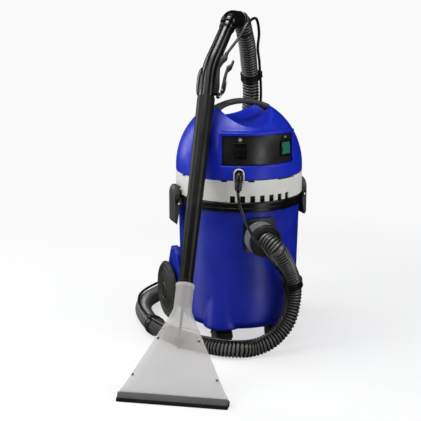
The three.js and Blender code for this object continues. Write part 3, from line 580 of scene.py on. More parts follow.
def tank_shell():
    """The blue tank: a flat foot, the wall with its two pods blended in, and the wall's inner side."""
    columns, soft = 288, POD["blend"]
    heights = [0, 0.6, 1.5, 3, 5, 7.5, 10, 13, 16, 20] + list(np.arange(24, 357, 4)) + [357, 358]
    verts = []
    for share in (0, 0.35, 0.7, 0.93):
        verts += ring(tank_radius(0) * share, 0.0, columns)
    for z in heights:
        for k in range(columns):
            angle = 2 * math.pi * k / columns
            wall, pod = tank_radius(z), pod_reach(angle, z)
            r = wall + math.log(1 + math.exp((pod - wall) / soft)) * soft
            verts.append((r * math.cos(angle), r * math.sin(angle), z))
    for r, z in [(169.6, 358), (162, 32), (156, 16), (136, 6), (60, 6), (0, 6)]:
        verts += ring(r, z, columns)
    skin = new_object("tank_skin", verts, rows_to_faces(len(verts) // columns, columns))
    crisp(skin, 50)
    feet = []
    for side in (-1, 1):
        x, y = side * abs(CASTER[0]), CASTER[1]
        foot = loft("foot", [(z, x, y, r, r) for z, r in ((-6, 15), (-5.6, 15.7), (-5, 16), (2, 16))], 48)
        feet.append(crisp(foot, 50))
    # The tank takes the darker copy of the blue: painted shade.
    piece(merged("tank", skin, *feet), "machine", "blue_plastic", "tank_shell", material="shaded_blue")


def rim():
    """The black hoop round the tank's top with its latch ears, and the seal that the head sits on."""
    low, high = RIM_Z
    profile = rounded([(174.5, low), (RIM_R, low), (RIM_R, high), (168, high), (168, 358.7), (174.5, 358.7)],
                      [0.8, 3.5, 4.5, 1.0, 0.5, 0.3], 5)
    hoop = lathe("hoop", profile, 256, closed=True)
    bead = [(RIM_R - 1.2, low + 8), (RIM_R + 1.6, low + 9), (RIM_R + 1.6, low + 12), (RIM_R - 1.2, low + 13)]
    bead = lathe("bead", rounded(bead, 0.9, 3), 256, closed=True)
    ears = []
    for side in (-1, 1):
        for front in (-1, 1):
            x = sorted((side * 177, side * 199))
            y = sorted((front * 28.5, front * 33.5))
            ears.append(brick("ear", (x[0], y[0], 346), (x[1], y[1], 365), 1.8, 3))
    piece(merged("tank_rim", hoop, bead, *ears), "machine", "black_plastic", "rim_ring", material="gloss_black")
    low, high = (corner[2] for corner in box_mm("tank_gasket"))
    section = rounded([(169, low), (175.5, low), (175.5, high), (169, high)], 0.8, 3)
    piece(lathe("gasket", section, 192, True), "machine", "seal_rubber", "tank_gasket")


def latches():
    """A rocker plate on each side, with cut-off upper corners, finger ribs at its tail and a pin."""
    outline = rounded([(186.5, 338), (195, 288), (201, 296), (201, 388), (196, 398), (186.5, 398), (180.8, 395.4),
                       (180.8, 391.5), (186.5, 391.5)], [8, 1, 1.5, 1.5, 1, 1.5, 1, 0.6, 0.5], 3)
    for word in ("left", "right"):
        plate = facing_front(prism("plate", outline, 55), y=27.5)
        for s in (-1, 1):
            corner = prism("corner", [(s * 27.6, 376), (s * 13.5, 399), (s * 30, 399)], 60)
            carve(plate, facing_side(corner, 165))
        soften(plate, 1.0, 3, 25)
        carve(plate, rod("hole", (193, -40, 351), (193, 40, 351), 3.6))
        crisp(plate, 40)
        ribs = [brick("rib", (200.2, -19, 300 + 7 * k), (201.8, 19, 302 + 7 * k), 0.8, 2) for k in range(3)]
        whole = merged(f"latch_{word}_plate", plate, *ribs)
        pin = rod(f"latch_{word}_pin", (193, -35.4, 351), (193, 35.4, 351), 3.2, rounding=0.8)
        if word == "left":
            turn(whole, 180, "Z")
            turn(pin, 180, "Z")
        piece(whole, f"{word}_latch", "grey_plastic", f"latch_{word}")
        piece(pin, "machine", "steel", f"latch_pin_{word}")


# ------------------------------------------------------------------ running gear


def casters():
    """At each front corner: a half-round hood on its stem, and twin wheels on a short axle."""
    hub = CASTER_HUB[2]
    for word, side in (("left", -1), ("right", 1)):
        place = (side * abs(CASTER[0]), CASTER[1], 0)

        def across(name, x0, x1, r, rounding=0.0):
            return rod(name, (x0, 10, hub), (x1, 10, hub), r, rounding=rounding, sides=64)

        hood = across("hood", -25, 25, 29.6, 5.0)
        carve(hood, across("space", -30, -5, 26.6), across("space", 5, 30, 26.6),
              brick("below", (-40, -60, hub - 40), (40, 60, hub + 3), 0))
        soften(hood, 0.7, 2, 60)
        stem = [(0, -20.6), (13, -20.6), (13, -6.5), (10, -6.5), (10, -4), (6, -4), (6, 33), (0, 33)]
        post = lathe("post", rounded(stem, [0, 1, 1, .5, .5, .5, 1, 0], 3, closed=False), 48)
        web = brick("web", (-4.6, -2, hub - 9), (4.6, 22, hub + 16), 1.2, 2)
        fork = shift(merged(f"caster_{word}_hood", hood, crisp(post, 40), web), place)
        piece(fork, f"{word}_caster", "black_plastic", f"caster_hood_{word}")
        rolls = []
        for out in (-1, 1):
            tread = [(4, 6), (19, 6), (24, 6.5), (25, 9), (25, 20), (23, 23.4), (20, 24), (18.2, 22.4), (8, 22.8),
                     (7, 24), (3, 23.8), (0, 23.8)]
            shape = rounded([(r, out * along) for r, along in tread], 0.8, 3, closed=False)
            roll = shift(lathe("roll", shape, 72), (0, 10, hub), Matrix.Rotation(math.pi / 2, 4, "Y"))
            rolls.append(crisp(roll, 40))
        axle = across("axle", -10, 10, 4, 0.5)
        wheels = shift(merged(f"caster_{word}_wheels", *rolls, axle), place)
        piece(wheels, f"{word}_caster_wheels", "tyre_rubber", f"caster_wheels_{word}")


def rear_wheels():
    """A domed disc with a rolled lip, a raised hub with a slot, and a thin solid tyre."""
    for word, side in (("left", -1), ("right", 1)):
        place, aim = (side * WHEEL_INNER, HUB[1], HUB[2]), Matrix.Rotation(side * math.pi / 2, 4, "Y")
        tyre = lathe("tyre", rounded([(70, 0), (82, 0), (88, 5), (88, 9.5), (81, 16), (70, 16)],
                                     [1, 3, 4, 4, 4, 1], 6), 192, closed=True)
        ridges = []
        for z in (4.8, 8.2):
            section = rounded([(87.2, z), (88.4, z + 0.4), (88.4, z + 1.2), (87.2, z + 1.6)], 0.4, 2)
            ridges.append(lathe("ridge", section, 192, closed=True))
        tyre = shift(merged(f"rear_{word}_tyre", tyre, *ridges), place, aim)
        piece(tyre, f"{word}_rear_wheel", "tyre_rubber", f"rear_tyre_{word}")
        dome = [(6.4, 4), (22, 4), (26, 8), (69.7, 8), (69.7, 14.5), (67, 16.6), (64.5, 16.4), (63, 15.2),
                (60, 15.4), (50, 18), (40, 20), (29, 21.4), (27.6, 19.8), (25.4, 19.8), (24, 21.8), (18, 22.2),
                (6.4, 22.2)]
        corners = [.5, 2, 3, 2, 1.5, 1.6, 1.2, 1.2, 2, 6, 6, .8, .8, .8, .8, 2, 1]
        disc = lathe(f"rear_{word}_disc", rounded(dome, corners, 4), 192, True)
        carve(disc, brick("slot", (-17, -4.5, 18), (17, 4.5, 30), 1.5, 2))
        shift(crisp(disc, 40), place, aim)
        piece(disc, f"{word}_rear_wheel", "grey_plastic", f"rear_disc_{word}", material="wheel_grey")
        button_shape = rounded([(0, 17.6), (10, 17.6), (10, 20.6), (0, 20.6)], [0, 1, 1.4, 0], 3, closed=False)
        cap = shift(lathe(f"rear_{word}_cap", button_shape, 64), place, aim)
        piece(crisp(cap, 40), f"{word}_rear_wheel", "black_plastic")
    reach = WHEEL_INNER + 17
    axle = rod("rear_axle_bar", (-reach, HUB[1], HUB[2]), (reach, HUB[1], HUB[2]), 6, rounding=1.0)
    piece(axle, "machine", "steel", "rear_axle")


def rear_carriage():
    """The moulding behind the tank: a beam between two cheeks, each a fin with a notched top edge."""
    cheek = [(118, 4), (236, 4), (252, 40), (240, 92), (214, 148), (203, 166), (190, 158), (176, 168),
             (150, 150), (124, 100)]
    outline = rounded(cheek, [6, 14, 20, 24, 14, 4, 5, 4, 12, 16], 6)
    parts = []
    for side in (-1, 1):
        fin = facing_side(prism("fin", outline, 22), WHEEL_INNER - 26)
        soften(fin, 3.0, 4, 50)
        if side < 0:
            transform(fin, Matrix.Scale(-1, 4, (1, 0, 0)))
        parts.append(fin)
    parts.append(brick("beam", (-122, 150, 6), (122, 226, 48), 8.0, 5))
    for x in (-60, -20, 20, 60):
        parts.append(brick("stiffener", (x - 2, 158, 46), (x + 2, 222, 66 - abs(x) * 0.1), 1.4, 2))
    whole = merged("carriage", *parts)
    carve(whole, lathe("tank_space", [(0, -20), (167, -20), (174, 400), (0, 400)], 192),
          rod("axle_hole", (-150, HUB[1], HUB[2]), (150, HUB[1], HUB[2]), 6.4, sides=48))
    crisp(whole, 35)
    # The carriage takes the darker copy of the blue: painted shade.
    piece(whole, "machine", "blue_plastic", "rear_carriage", material="shaded_blue")


# ------------------------------------------------------------------ head


def trough(reach, steps=72):
    """The finger channel as a tool: a half ellipse, open at the top, running from front to back."""
    half, depth = CHANNEL["half"], CHANNEL["centre"] - CHANNEL["floor"]
    arc = [math.pi + math.pi * k / steps for k in range(steps + 1)]
    points = [(half * math.cos(a), CHANNEL["centre"] + depth * math.sin(a)) for a in arc]
    points += [(half, 700), (-half, 700)]
    return facing_front(prism("trough", points, 2 * reach), y=reach)


def cut_switch_holes(obj):
    for switch in SWITCHES.values():
        half_w, half_h = switch["width"] / 2 - 2, SWITCH_H / 2 - 2
        hole = brick("hole", (-half_w, -200, SWITCH_Z - half_h), (half_w, -150, SWITCH_Z + half_h), 0)
        carve(obj, turn(hole, switch["angle"], "Z"))


def head_dome():
    """The dome with its panel housing, finger channel, switch holes and the notch for the outlet."""
    profile = [(0, DOME_Z), (DOME_R - 2, DOME_Z), (DOME_R, DOME_Z + 2)]
    for k in range(49):
        a = k / 48 * math.pi / 2
        profile.append((max(0.0, DOME_R * math.cos(a)), DOME_CENTRE + DOME_HEIGHT * math.sin(a)))
    skin = lathe("dome_skin", profile, 192)
    low, high = HOUSING["z"]
    carve(skin, wedge("pod", 60, HOUSING["r"], HOUSING["angle"], low, high), operation="UNION")
    carve(skin, trough(230))
    low, high = PANEL["z"]
    carve(skin, wedge("recess", PANEL["r"] - 3.6, 200, PANEL["angle"], low, high))
    cut_switch_holes(skin)
    notch = brick("notch", (-ARCH_HALF, -200, 420), (ARCH_HALF, -160, ARCH_Z), 0)
    arch = rod("arch", (0, -200, ARCH_Z), (0, -160, ARCH_Z), ARCH_HALF, sides=64)
    carve(skin, turn(notch, OUTLET_ANGLE, "Z"), turn(arch, OUTLET_ANGLE, "Z"))
    piece(remesh(skin, 1.7, 5), "head", "blue_plastic", "head_dome")


def arch_line(half):
    """From one foot of the outlet's arch over to the other, at this half width."""
    over = [(-half * math.cos(a), ARCH_Z + half * math.sin(a)) for a in np.linspace(0.1, math.pi - 0.1, 24)]
    return [(-half, 426), (-half, ARCH_Z)] + over + [(half, ARCH_Z), (half, 426)]


def head_ring():
    """The light ring under the dome: vents at its lower edge, slots at its upper edge, an arch for the outlet."""
    low, high = RING_Z
    profile = rounded([(177, low), (RING_R, low), (RING_R, high), (174, high), (174, 381), (150, 381), (150, 375.4),
                       (177, 375.4)], [0.4, 1.5, 2.0, 0.6, 0.5, 0.5, 0.5, 0.5], 4)
    ring_skin = lathe("ring", profile, 256, closed=True)
    tools = []
    for k in range(VENTS["count"]):
        half = VENTS["width"] / 2
        vent = brick("vent", (-half, -190, 365), (half, -170, VENTS["top"]), 0)
        tools.append(turn(vent, (k - (VENTS["count"] - 1) / 2) * VENTS["step"], "Z"))
    for angle in SHORT_SLOTS:
        tools.append(turn(brick("slot", (-9, -190, 427.6), (9, -170, 436), 0), angle, "Z"))
    tools.append(turn(wedge("slot", 170, 190, 10.5, 428.6, 436), LONG_SLOT, "Z"))
    tools.append(brick("socket", (-16, 165, 394), (16, 190, 422), 0))
    carve(ring_skin, *tools)
    ribs = []
    for side in (-1, 1):
        x = sorted((side * 176, side * 184))
        ribs.append(brick("rib", (x[0], -24, 386.5), (x[1], 24, 391), 0.8, 2))
    section = arch_line(15) + arch_line(11)[::-1]
    arch = facing_front(prism("arch", section, 10), y=-172)
    soften(arch, 1.4, 3, 50)
    turn(arch, OUTLET_ANGLE, "Z")
    crisp(ring_skin, 40)
    piece(merged("ring_moulding", ring_skin, arch, *ribs), "head", "light_grey_plastic", "head_ring")
    # Black sheets just inside the vents and slots: painted shade in the head behind them.
    shade_inserts = [wedge("vent_shade_fill", 175.2, 176.4, 33, low + 3.4, 392, per_degree=2)]
    for angle in SHORT_SLOTS:
        shade_inserts.append(turn(brick("slot_shade_fill", (-10, -173.6, 426), (10, -172, 431), 0.4, 1), angle, "Z"))
    shade_inserts.append(turn(wedge("slot_shade_fill", 172, 173.6, 11, 426, 431), LONG_SLOT, "Z"))
    piece(merged("painted_vent_shade", *shade_inserts), "head", "black_plastic")


def carry_handle():
    """A bridge over the channel that follows the dome's outline, with rounded edges and flared ends."""
    reach, sides = CHANNEL["half"] + 1.0, 40
    verts = []
    for t in np.linspace(-1, 1, 61):
        x = reach * t
        level = math.sqrt(1 - (x / DOME_R) ** 2)
        flare = abs(t) ** 6
        half_y, half_z = 14.0 + 3.0 * flare, (14.5 + 9.0 * flare) / 2
        z = DOME_CENTRE + DOME_HEIGHT * level - 0.4 - half_z
        tilt = math.atan(-DOME_HEIGHT * x / (DOME_R**2 * level))
        for k in range(sides):
            y, up = squircle(2 * math.pi * k / sides, half_y, half_z, 2 / 0.55)
            verts.append((x - up * math.sin(tilt), y - 14, z + up * math.cos(tilt)))
    handle = new_object("handle", verts, rows_to_faces(61, sides) + end_caps(61, sides))
    piece(crisp(handle, 60), "head", "grey_plastic", "carry_handle")


def control_panel():
    """The dark panel with a mark above each switch, and each switch's frame, well and rocker."""
    low, high = PANEL["z"]
    plate = wedge("fascia_plate", PANEL["r"] - 3.2, PANEL["r"], PANEL["angle"] - 0.2, low + 0.3, high - 0.3)
    cut_switch_holes(plate)
    soften(plate, 0.8, 3, 50)
    piece(plate, "head", "black_plastic", "panel_plate", material="fascia")
    marks = []
    for name, switch in SWITCHES.items():
        w, h, angle = switch["width"] / 2, SWITCH_H / 2, switch["angle"]
        marks.append(turn(shift(icon(name), (0, -PANEL["r"] - 0.35, SWITCH_Z + h + 8.5)), angle, "Z"))
        bezel = prism(f"{name}_bezel", rounded([(-w, -h), (w, -h), (w, h), (-w, h)], 4, 5), 6)
        x, y = w - 4.6, h - 4.6
        inner = rounded([(-x, -y), (x, -y), (x, y), (-x, y)], 2, 4)
        carve(bezel, shift(prism("inner", inner, 30), (0, 0, -10)))
        soften(bezel, 1.2, 3, 50)
        turn(facing_front(bezel, y=-PANEL["r"] + 2.2, z=SWITCH_Z), angle, "Z")
        piece(bezel, "head", "black_plastic", f"{name}_switch_frame", material="gloss_black")
        well = brick(f"{name}_well", (-w + 3, -164, SWITCH_Z - h + 3), (w - 3, -153, SWITCH_Z + h - 3), 1)
        piece(turn(well, angle, "Z"), "head", "black_plastic")
        button(name, w - 5.6, h - 6, angle)
    piece(merged("panel_marks", *marks), "head", "light_grey_plastic")


def icon(name):
    """A plain mark: three round lobes in a ring for suction, three slanted bars for spray."""
    parts = []
    if name == "vacuum":
        for degrees in (90, 210, 330):
            x, y = 2.1 * math.cos(math.radians(degrees)), 2.1 * math.sin(math.radians(degrees))
            parts.append(loft("lobe", [(0, x, y, 1.5, 1.5), (0.5, x, y, 1.4, 1.4)], 16))
        hoop = rounded([(4.3, 0), (4.9, 0), (4.9, 0.5), (4.3, 0.5)], 0.1, 1)
        parts.append(lathe("hoop", hoop, 32, True))
    else:
        for x in (-3, 0, 3):
            parts.append(prism("bar", [(x - 1.6, -3), (x - 0.6, -3), (x + 1.2, 3), (x + 0.2, 3)], 0.5))
    return facing_front(merged("mark", *parts))


def button(name, half_w, half_h, angle):
    """A rocker with two hollow facets, tilted 7 degrees."""
    tilt = math.radians(7)
    drop = half_h * math.tan(tilt)
    side = []
    for t in np.linspace(-1, 1, 25):
        side.append((t * half_h, 8 - abs(t) * drop - 0.8 * math.sin(math.pi * min(1, abs(t))) ** 2))
    side = rounded([(-half_h, -4)] + side + [(half_h, -4)], [0.5] + [0] * 25 + [0.5], 2)
    turned = [(-(out * math.cos(tilt) - up * math.sin(tilt)), up * math.cos(tilt) + out * math.sin(tilt))
              for up, out in side]
    outline = [(y - PANEL["r"] + 2, z + SWITCH_Z) for y, z in turned]
    key = facing_side(prism(f"{name}_key", outline, 2 * half_w), -half_w)
    soften(key, 1.0, 3, 40)
    turn(key, angle, "Z")
    slot, look = ("green_lens", "green_lens") if name == "pump" else ("black_plastic", "gloss_black")
    piece(key, f"{name}_switch", slot, f"{name}_rocker", material=look)


def outlet_coupler():
    """The quick coupler under the panel: a bent stub, a knurled sleeve pointing down, and a plated nut."""
    a = math.radians(OUTLET_ANGLE)
    out = np.array([math.sin(a), -math.cos(a), 0])
    root, knee = out * 160 + [0, 0, 448], out * 189 + [0, 0, 448]
    end = np.array(THIN_START) + [0, 0, 1.4]
    middle = (knee + end) / 2
    middle[2] = 425
    bend = resample(catmull([root, knee - out * 4, knee + [0, 0, -7] + out * 1.5, middle, end + [0, 0, 6]], 8), 1.5)
    radii = np.interp(np.linspace(0, 1, len(bend)), [0, .5, .8, 1], [9, 9.4, 8.4, 7])
    body = crisp(tube("outlet_body", bend, radii, 40), 50)
    piece(body, "head", "black_plastic", "outlet_coupler", material="gloss_black")
    sleeve = rod("sleeve", middle + [0, 0, 3], end + [0, 0, 5], 9.6, 8.6, rounding=1.2)
    knurls = []
    for k in range(18):
        t = 2 * math.pi * k / 18
        spot = middle + np.array([9.4 * math.cos(t), 9.4 * math.sin(t), 1])
        low = end + np.array([8.6 * math.cos(t), 8.6 * math.sin(t), 7])
        knurls.append(rod("knurl", spot, low, 0.8, sides=8, rounding=0.4))
    piece(merged("outlet_sleeve", sleeve, *knurls), "head", "black_plastic", material="gloss_black")
    nut = rod("outlet_nut", end + [0, 0, 7], end, 6.4, 5.6, rounding=0.8, sides=6)
    piece(nut, "head", "steel")


def power_inlet():
    plate = brick("plate", (-20, 180.4, 388), (20, 184, 428), 1.2, 3)
    carve(plate, brick("mouth", (-12, 170, 398), (12, 190, 418), 0))
    cup = brick("cup", (-15.5, 160, 394.5), (15.5, 181, 421.5), 1, 2)
    carve(cup, brick("mouth", (-12, 163, 398), (12, 190, 418), 0))
    metal = [brick("blade", (x - 1, 161, 403), (x + 1, 178, 412), 0.3, 2) for x in (-7, 0, 7)]
    for x in (-15.5, 15.5):
        metal += [rod("screw", (x, 183.6, z), (x, 185, z), 2.4, rounding=0.6) for z in (393, 423)]
    piece(merged("power_socket", plate, cup), "head", "black_plastic", "power_inlet")
    piece(merged("power_blades", *metal), "head", "steel")


# ------------------------------------------------------------------ suction inlet and hoses

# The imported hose's waypoints, from the inlet elbow round the back of the machine and up to the wand.
HOSE_POINTS = [
    (14, -253, 254), (36, -240, 226), (62, -214, 190), (86, -196, 139), (91, -187, 85), (77, -191, 32),
    (51, -197, 1), (12, -203, -24), (-28, -200, -36.5), (-70, -198, -36.5), (-107, -178, -36.5),
    (-135, -149, -36.5), (-168, -112, -36.5), (-204, -58, -35), (-239, 57, -32.4), (-238, 150, -35),
    (-222, 240, -36.5), (-185, 315, -36), (-125, 350, -25), (-60, 350, 0), (0, 330, 60), (50, 300, 150),
    (90, 270, 250), (115, 250, 350), (122, 235, 450), (120, 225, 540), (115, 202, 615), (105, 185, 674),
    (92, 163, 718), (74, 132, 771), (56, 109, 811),
]
HOSE_R = 25.0
HOSE_VALLEY = 21.0
RIB_PITCH = 9.4
RIB_STEP = RIB_PITCH / 9
RIB_ROUNDNESS = 0.8
THIN_R = 4.0
THIN_OFFSET = 31.0
THIN_WIND = -0.88 * math.pi
CLIPS = {"front": 3, "side": 14, "top": 27}
START_SIDE = (-0.84, -0.54, 0.0)
THIN_START = (-75, -190.5, 404)
SPAN = 48
GROOVE_DEPTH = 0.42

hose_path = catmull(HOSE_POINTS, SPAN)
hose_steps = np.linalg.norm(np.diff(hose_path, axis=0), axis=1)
hose_along = np.concatenate([[0], np.cumsum(hose_steps)])
hose_tangent, hose_side, hose_third = frames_along(hose_path, START_SIDE, CLIPS["front"] * SPAN)


def beside_hose(distance):
    """The thin hose's place beside the suction hose; it winds to the outer side of it behind the machine."""
    low, high = hose_along[19 * SPAN], hose_along[26 * SPAN]
    t = min(1.0, max(0.0, (distance - low) / (high - low)))
    wind = THIN_WIND * t * t * (3 - 2 * t)
    at = [np.array([np.interp(distance, hose_along, column[:, k]) for k in range(3)])
          for column in (hose_path, hose_side, hose_third)]
    side = math.cos(wind) * at[1] + math.sin(wind) * at[2]
    return at[0] + THIN_OFFSET * side / np.linalg.norm(side)


def suction_hose():
    """A corrugated hose with spiral ribs and painted shade in the valleys between them, open at its ends."""
    path = resample(hose_path, RIB_STEP)
    sides = 36
    along = np.arange(len(path)) * RIB_STEP / RIB_PITCH
    wave = 0.5 + 0.5 * np.cos(2 * math.pi * (along[:, None] + np.arange(sides)[None, :] / sides))
    radius = HOSE_VALLEY + (HOSE_R - HOSE_VALLEY) * wave ** RIB_ROUNDNESS
    mesh = tube("suction_hose_skin", path, radius, sides, caps=False)
    piece(mesh, None, "hose_plastic", "suction_hose")
    paint_valley_shade(mesh, wave)
    lean(mesh)


def ribbed_end(name, body, path, turns, valley, crest, bore):
    """A short stretch of hose with level ribs, at the inlet or the cuff. turns is the ribs' phase along it."""
    sides = 64
    wave = 0.5 + 0.5 * np.cos(2 * math.pi * turns)
    mesh = tube(name, path, valley + (crest - valley) * wave ** RIB_ROUNDNESS, sides, bore=bore)
    piece(mesh, body, "hose_plastic")
    paint_valley_shade(mesh, np.repeat(wave[:, None], sides, axis=1))


def paint_valley_shade(mesh, wave):
    """The bottom of each rib valley gets a darker finish of its own: painted shade."""
    mesh.data.materials.append(MATERIALS["rib_valley_shade"])
    depth = (wave[:-1] + wave[1:]) / 2
    depth = (depth + np.roll(depth, -1, axis=1)) / 2
    deep = np.zeros(len(mesh.data.polygons), np.int32)
    deep[:depth.size] = depth.reshape(-1) < GROOVE_DEPTH
    mesh.data.polygons.foreach_set("material_index", deep)


def lean(obj):
    """Bakes its place into its mesh, for the pieces on the way up from the machine to the wand behind it."""
    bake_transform(obj)


def thin_hose():
    """From the coupler down to the front clip, then beside the suction hose up to the top clip."""
    first, last = hose_along[CLIPS["front"] * SPAN], hose_along[CLIPS["top"] * SPAN] + 0.008 * hose_along[-1]
    beside = [beside_hose(first + (last - first) * k / 40) for k in range(41)]
    droop = [THIN_START, (-74, -192, 385), (-66, -205, 346), (-56, -236, 305), (-33, -272, 261), (4, -272, 214),
             tuple(beside_hose(first) + [-10, -12, 30])]
    path = catmull(droop + beside, 12)
    clip_at = len(droop) * 12
    front = resample(path[:clip_at + 1], 3)
    loop = tube("thin_hose_front", front, THIN_R, 20)
    piece(loop, None, "tube_rubber", "solution_hose")
    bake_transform(loop)
    rest = tube("thin_hose_run", resample(path[clip_at:], 4), THIN_R, 20)
    piece(rest, None, "tube_rubber", "solution_hose")
    lean(rest)
    return path


def wand_point(x, y, z):
    """A place given in the wand's own frame."""
    return (WAND_FRAME @ np.array([x, y, z, 1.0]))[:3]


def thin_tail(path):
    """From the top clip over the cuff and down to the valve, with a crimped sleeve at its end."""
    ahead = (path[-1] - path[-4]) / np.linalg.norm(path[-1] - path[-4])
    start = path[-1] + 0.6 * ahead
    loop = [(106, 128, 762), (103, 112, 806), (72, 62, 851), (38, 33, 841), (2, 16, 799)]
    points = [start, start + 28 * ahead] + loop + [wand_point(48, 12, 992), wand_point(39.5, 10.6, 974.6)]
    hose = tube("tail", resample(catmull(points, 16), 3), THIN_R, 20)
    piece(hose, "wand", "tube_rubber", "solution_hose_tail")
    crimp = rod("tail_crimp", wand_point(39.7, 10.6, 973), wand_point(43, 11.2, 984), 5.4, 5.2, rounding=0.8)
    piece(crimp, "wand", "black_plastic")


def clips():
    """A band round both hoses, with a ridge at each edge and a screw lug beside the thin hose."""
    for name, index in CLIPS.items():
        k = index * SPAN
        big, small, along = hose_path[k], beside_hose(hose_along[k]), hose_tangent[k]

        def round_band(centre, inner, outer, half):
            profile = rounded([(inner, -half), (outer, -half), (outer, -half + 3), (outer - 0.8, -half + 3.8),
                               (outer - 0.8, half - 3.8), (outer, half - 3), (outer, half), (inner, half)],
                              [.3, .8, .5, .3, .3, .5, .8, .3], 3)
            band = lathe("band", profile, 72, closed=True)
            return crisp(shift(band, centre, pointing(along)), 40)

        bands = [round_band(big, HOSE_R + 0.3, HOSE_R + 4, 11), round_band(small, THIN_R + 0.3, THIN_R + 3.4, 9)]
        away = (small - big) / np.linalg.norm(small - big)
        middle = big + away * (HOSE_R + 2.6)
        lug = rod("lug", middle - along * 7, middle + along * 7, 2.6, rounding=0.8)
        whole = merged(f"clip_{name}", *bands, lug)
        leaning = name == "top"
        piece(whole, None if leaning else "machine", "black_plastic", f"hose_clip_{name}")
        if leaning:
            lean(whole)


def inlet():
    """The flange on the wall, the light socket, and the dark collar that the hose bends out of."""
    x, z = INLET["x"], INLET["z"]
    plate = [(-36, -40), (36, -40), (43, -30), (46, 30), (46, 45), (39, 52), (-28, 52), (-38, 44), (-42, 30),
             (-42, -30)]
    flange = facing_front(prism("inlet_plate", rounded(plate, 6, 5), 24), x, INLET["wall"] + 14, z)
    carve(flange, lathe("tank_space", [(0, -20), (166.4, -20), (174, 358), (0, 358)], 192),
          rod("through", (x, -300, z), (x, -100, z), 19, sides=64))
    soften(flange, 2.2, 4, 50)
    piece(flange, "machine", "black_plastic", "inlet_flange", material="gloss_black")

    def facing(obj, depth):
        return shift(obj, (x, depth, z), Matrix.Rotation(math.pi / 2, 4, "X"))

    face = INLET["wall"] - 10.3
    steps = [(19, 0), (45, 0), (45, 3), (44, 4.5), (44, 31), (44.8, 32.5), (44.8, 37), (19, 37)]
    socket = facing(lathe("inlet_socket_skin", rounded(steps, 0.9, 3), 128, closed=True), face)
    piece(crisp(socket, 40), "machine", "light_grey_plastic", "inlet_socket", material="socket_grey")
    start = face - 37.3
    shell = [(36, 0), (45, 0), (45, 4), (43.6, 5.5), (43.6, 9), (44.6, 10.5), (43.6, 14), (38, 14.6), (36.5, 12),
             (27.5, 11), (26.5, 4), (36, 4)]
    shell = rounded(shell, [.5, 1.4, 1, .8, .8, 1, 1.6, 2, 1, 1, 1, 1], 4)
    collar = [crisp(facing(lathe("collar", shell, 144, closed=True), start), 40)]
    for k in range(24):
        a = 2 * math.pi * k / 24
        near, far = [(43.9 * math.cos(a), 43.9 * math.sin(a), along) for along in (5, 10)]
        collar.append(facing(rod("grip", near, far, 1.0, rounding=0.6, sides=10), start))
    first, away = np.array(HOSE_POINTS[0], float), hose_tangent[0]
    back = np.array([x, start - 10, z])
    route = catmull([(x, start - 5, z), (x, start - 11, z), tuple(0.5 * (back + first) + [-2, -4.5, 4]),
                     tuple(first - 3 * away), tuple(first + 0.6 * away)], 14)
    step = 0.8
    path = resample(route, step)
    turns = np.arange(len(path)) * step / (0.66 * RIB_PITCH)
    ribbed_end("inlet_bend", "machine", path, turns, HOSE_VALLEY + 0.9, HOSE_R + 0.1, 19.5)
    piece(merged("inlet_elbow_skin", *collar), "machine", "black_plastic", "inlet_elbow")


# ------------------------------------------------------------------ wand

WAND_YAW = -30.17
WAND_LEAN = 32.6
FOOT = (-343.0, -439.0, FLOOR + 0.4)
GRIP_BEND = 930.0
GRIP_TURN = np.array([0.244, 0.107, 0.964])
GRIP_LENGTH = 150.0
SIDE_TURN = 15.0


def wand_frame():
    yaw, tilt = math.radians(WAND_YAW), math.radians(WAND_LEAN)
    lip = np.array([math.cos(yaw), math.sin(yaw), 0])
    up = np.array([-math.sin(yaw) * math.sin(tilt), math.cos(yaw) * math.sin(tilt), math.cos(tilt)])
    frame4 = np.eye(4)
    frame4[:3, 0], frame4[:3, 1], frame4[:3, 2], frame4[:3, 3] = lip, np.cross(up, lip), up, FOOT
    return frame4


WAND_FRAME = wand_frame()


def on_wand(obj):
    """Takes a mesh drawn in the wand's own frame to its place."""
    matrix = Matrix([[float(c) for c in row] for row in WAND_FRAME])
    matrix.translation = Vector(FOOT) * MM
    return transform(obj, matrix)


# Height, half width, half depth and sideways offset of the nozzle's outside, from its lip to its neck.
NOZZLE = [(20.3, 139.5, 12, 4), (24, 139, 12.2, 4), (40, 128.5, 12.5, 3.6), (80, 107, 13, 3.1), (120, 86, 14, 2.5),
          (155, 67, 15.6, 1.8), (190, 49, 17.5, 1), (215, 35.5, 20.2, .5), (240, 24.4, 23.5, 0),
          (252, 23.6, 23.5, 0), (310, 23.5, 23.5, 0)]


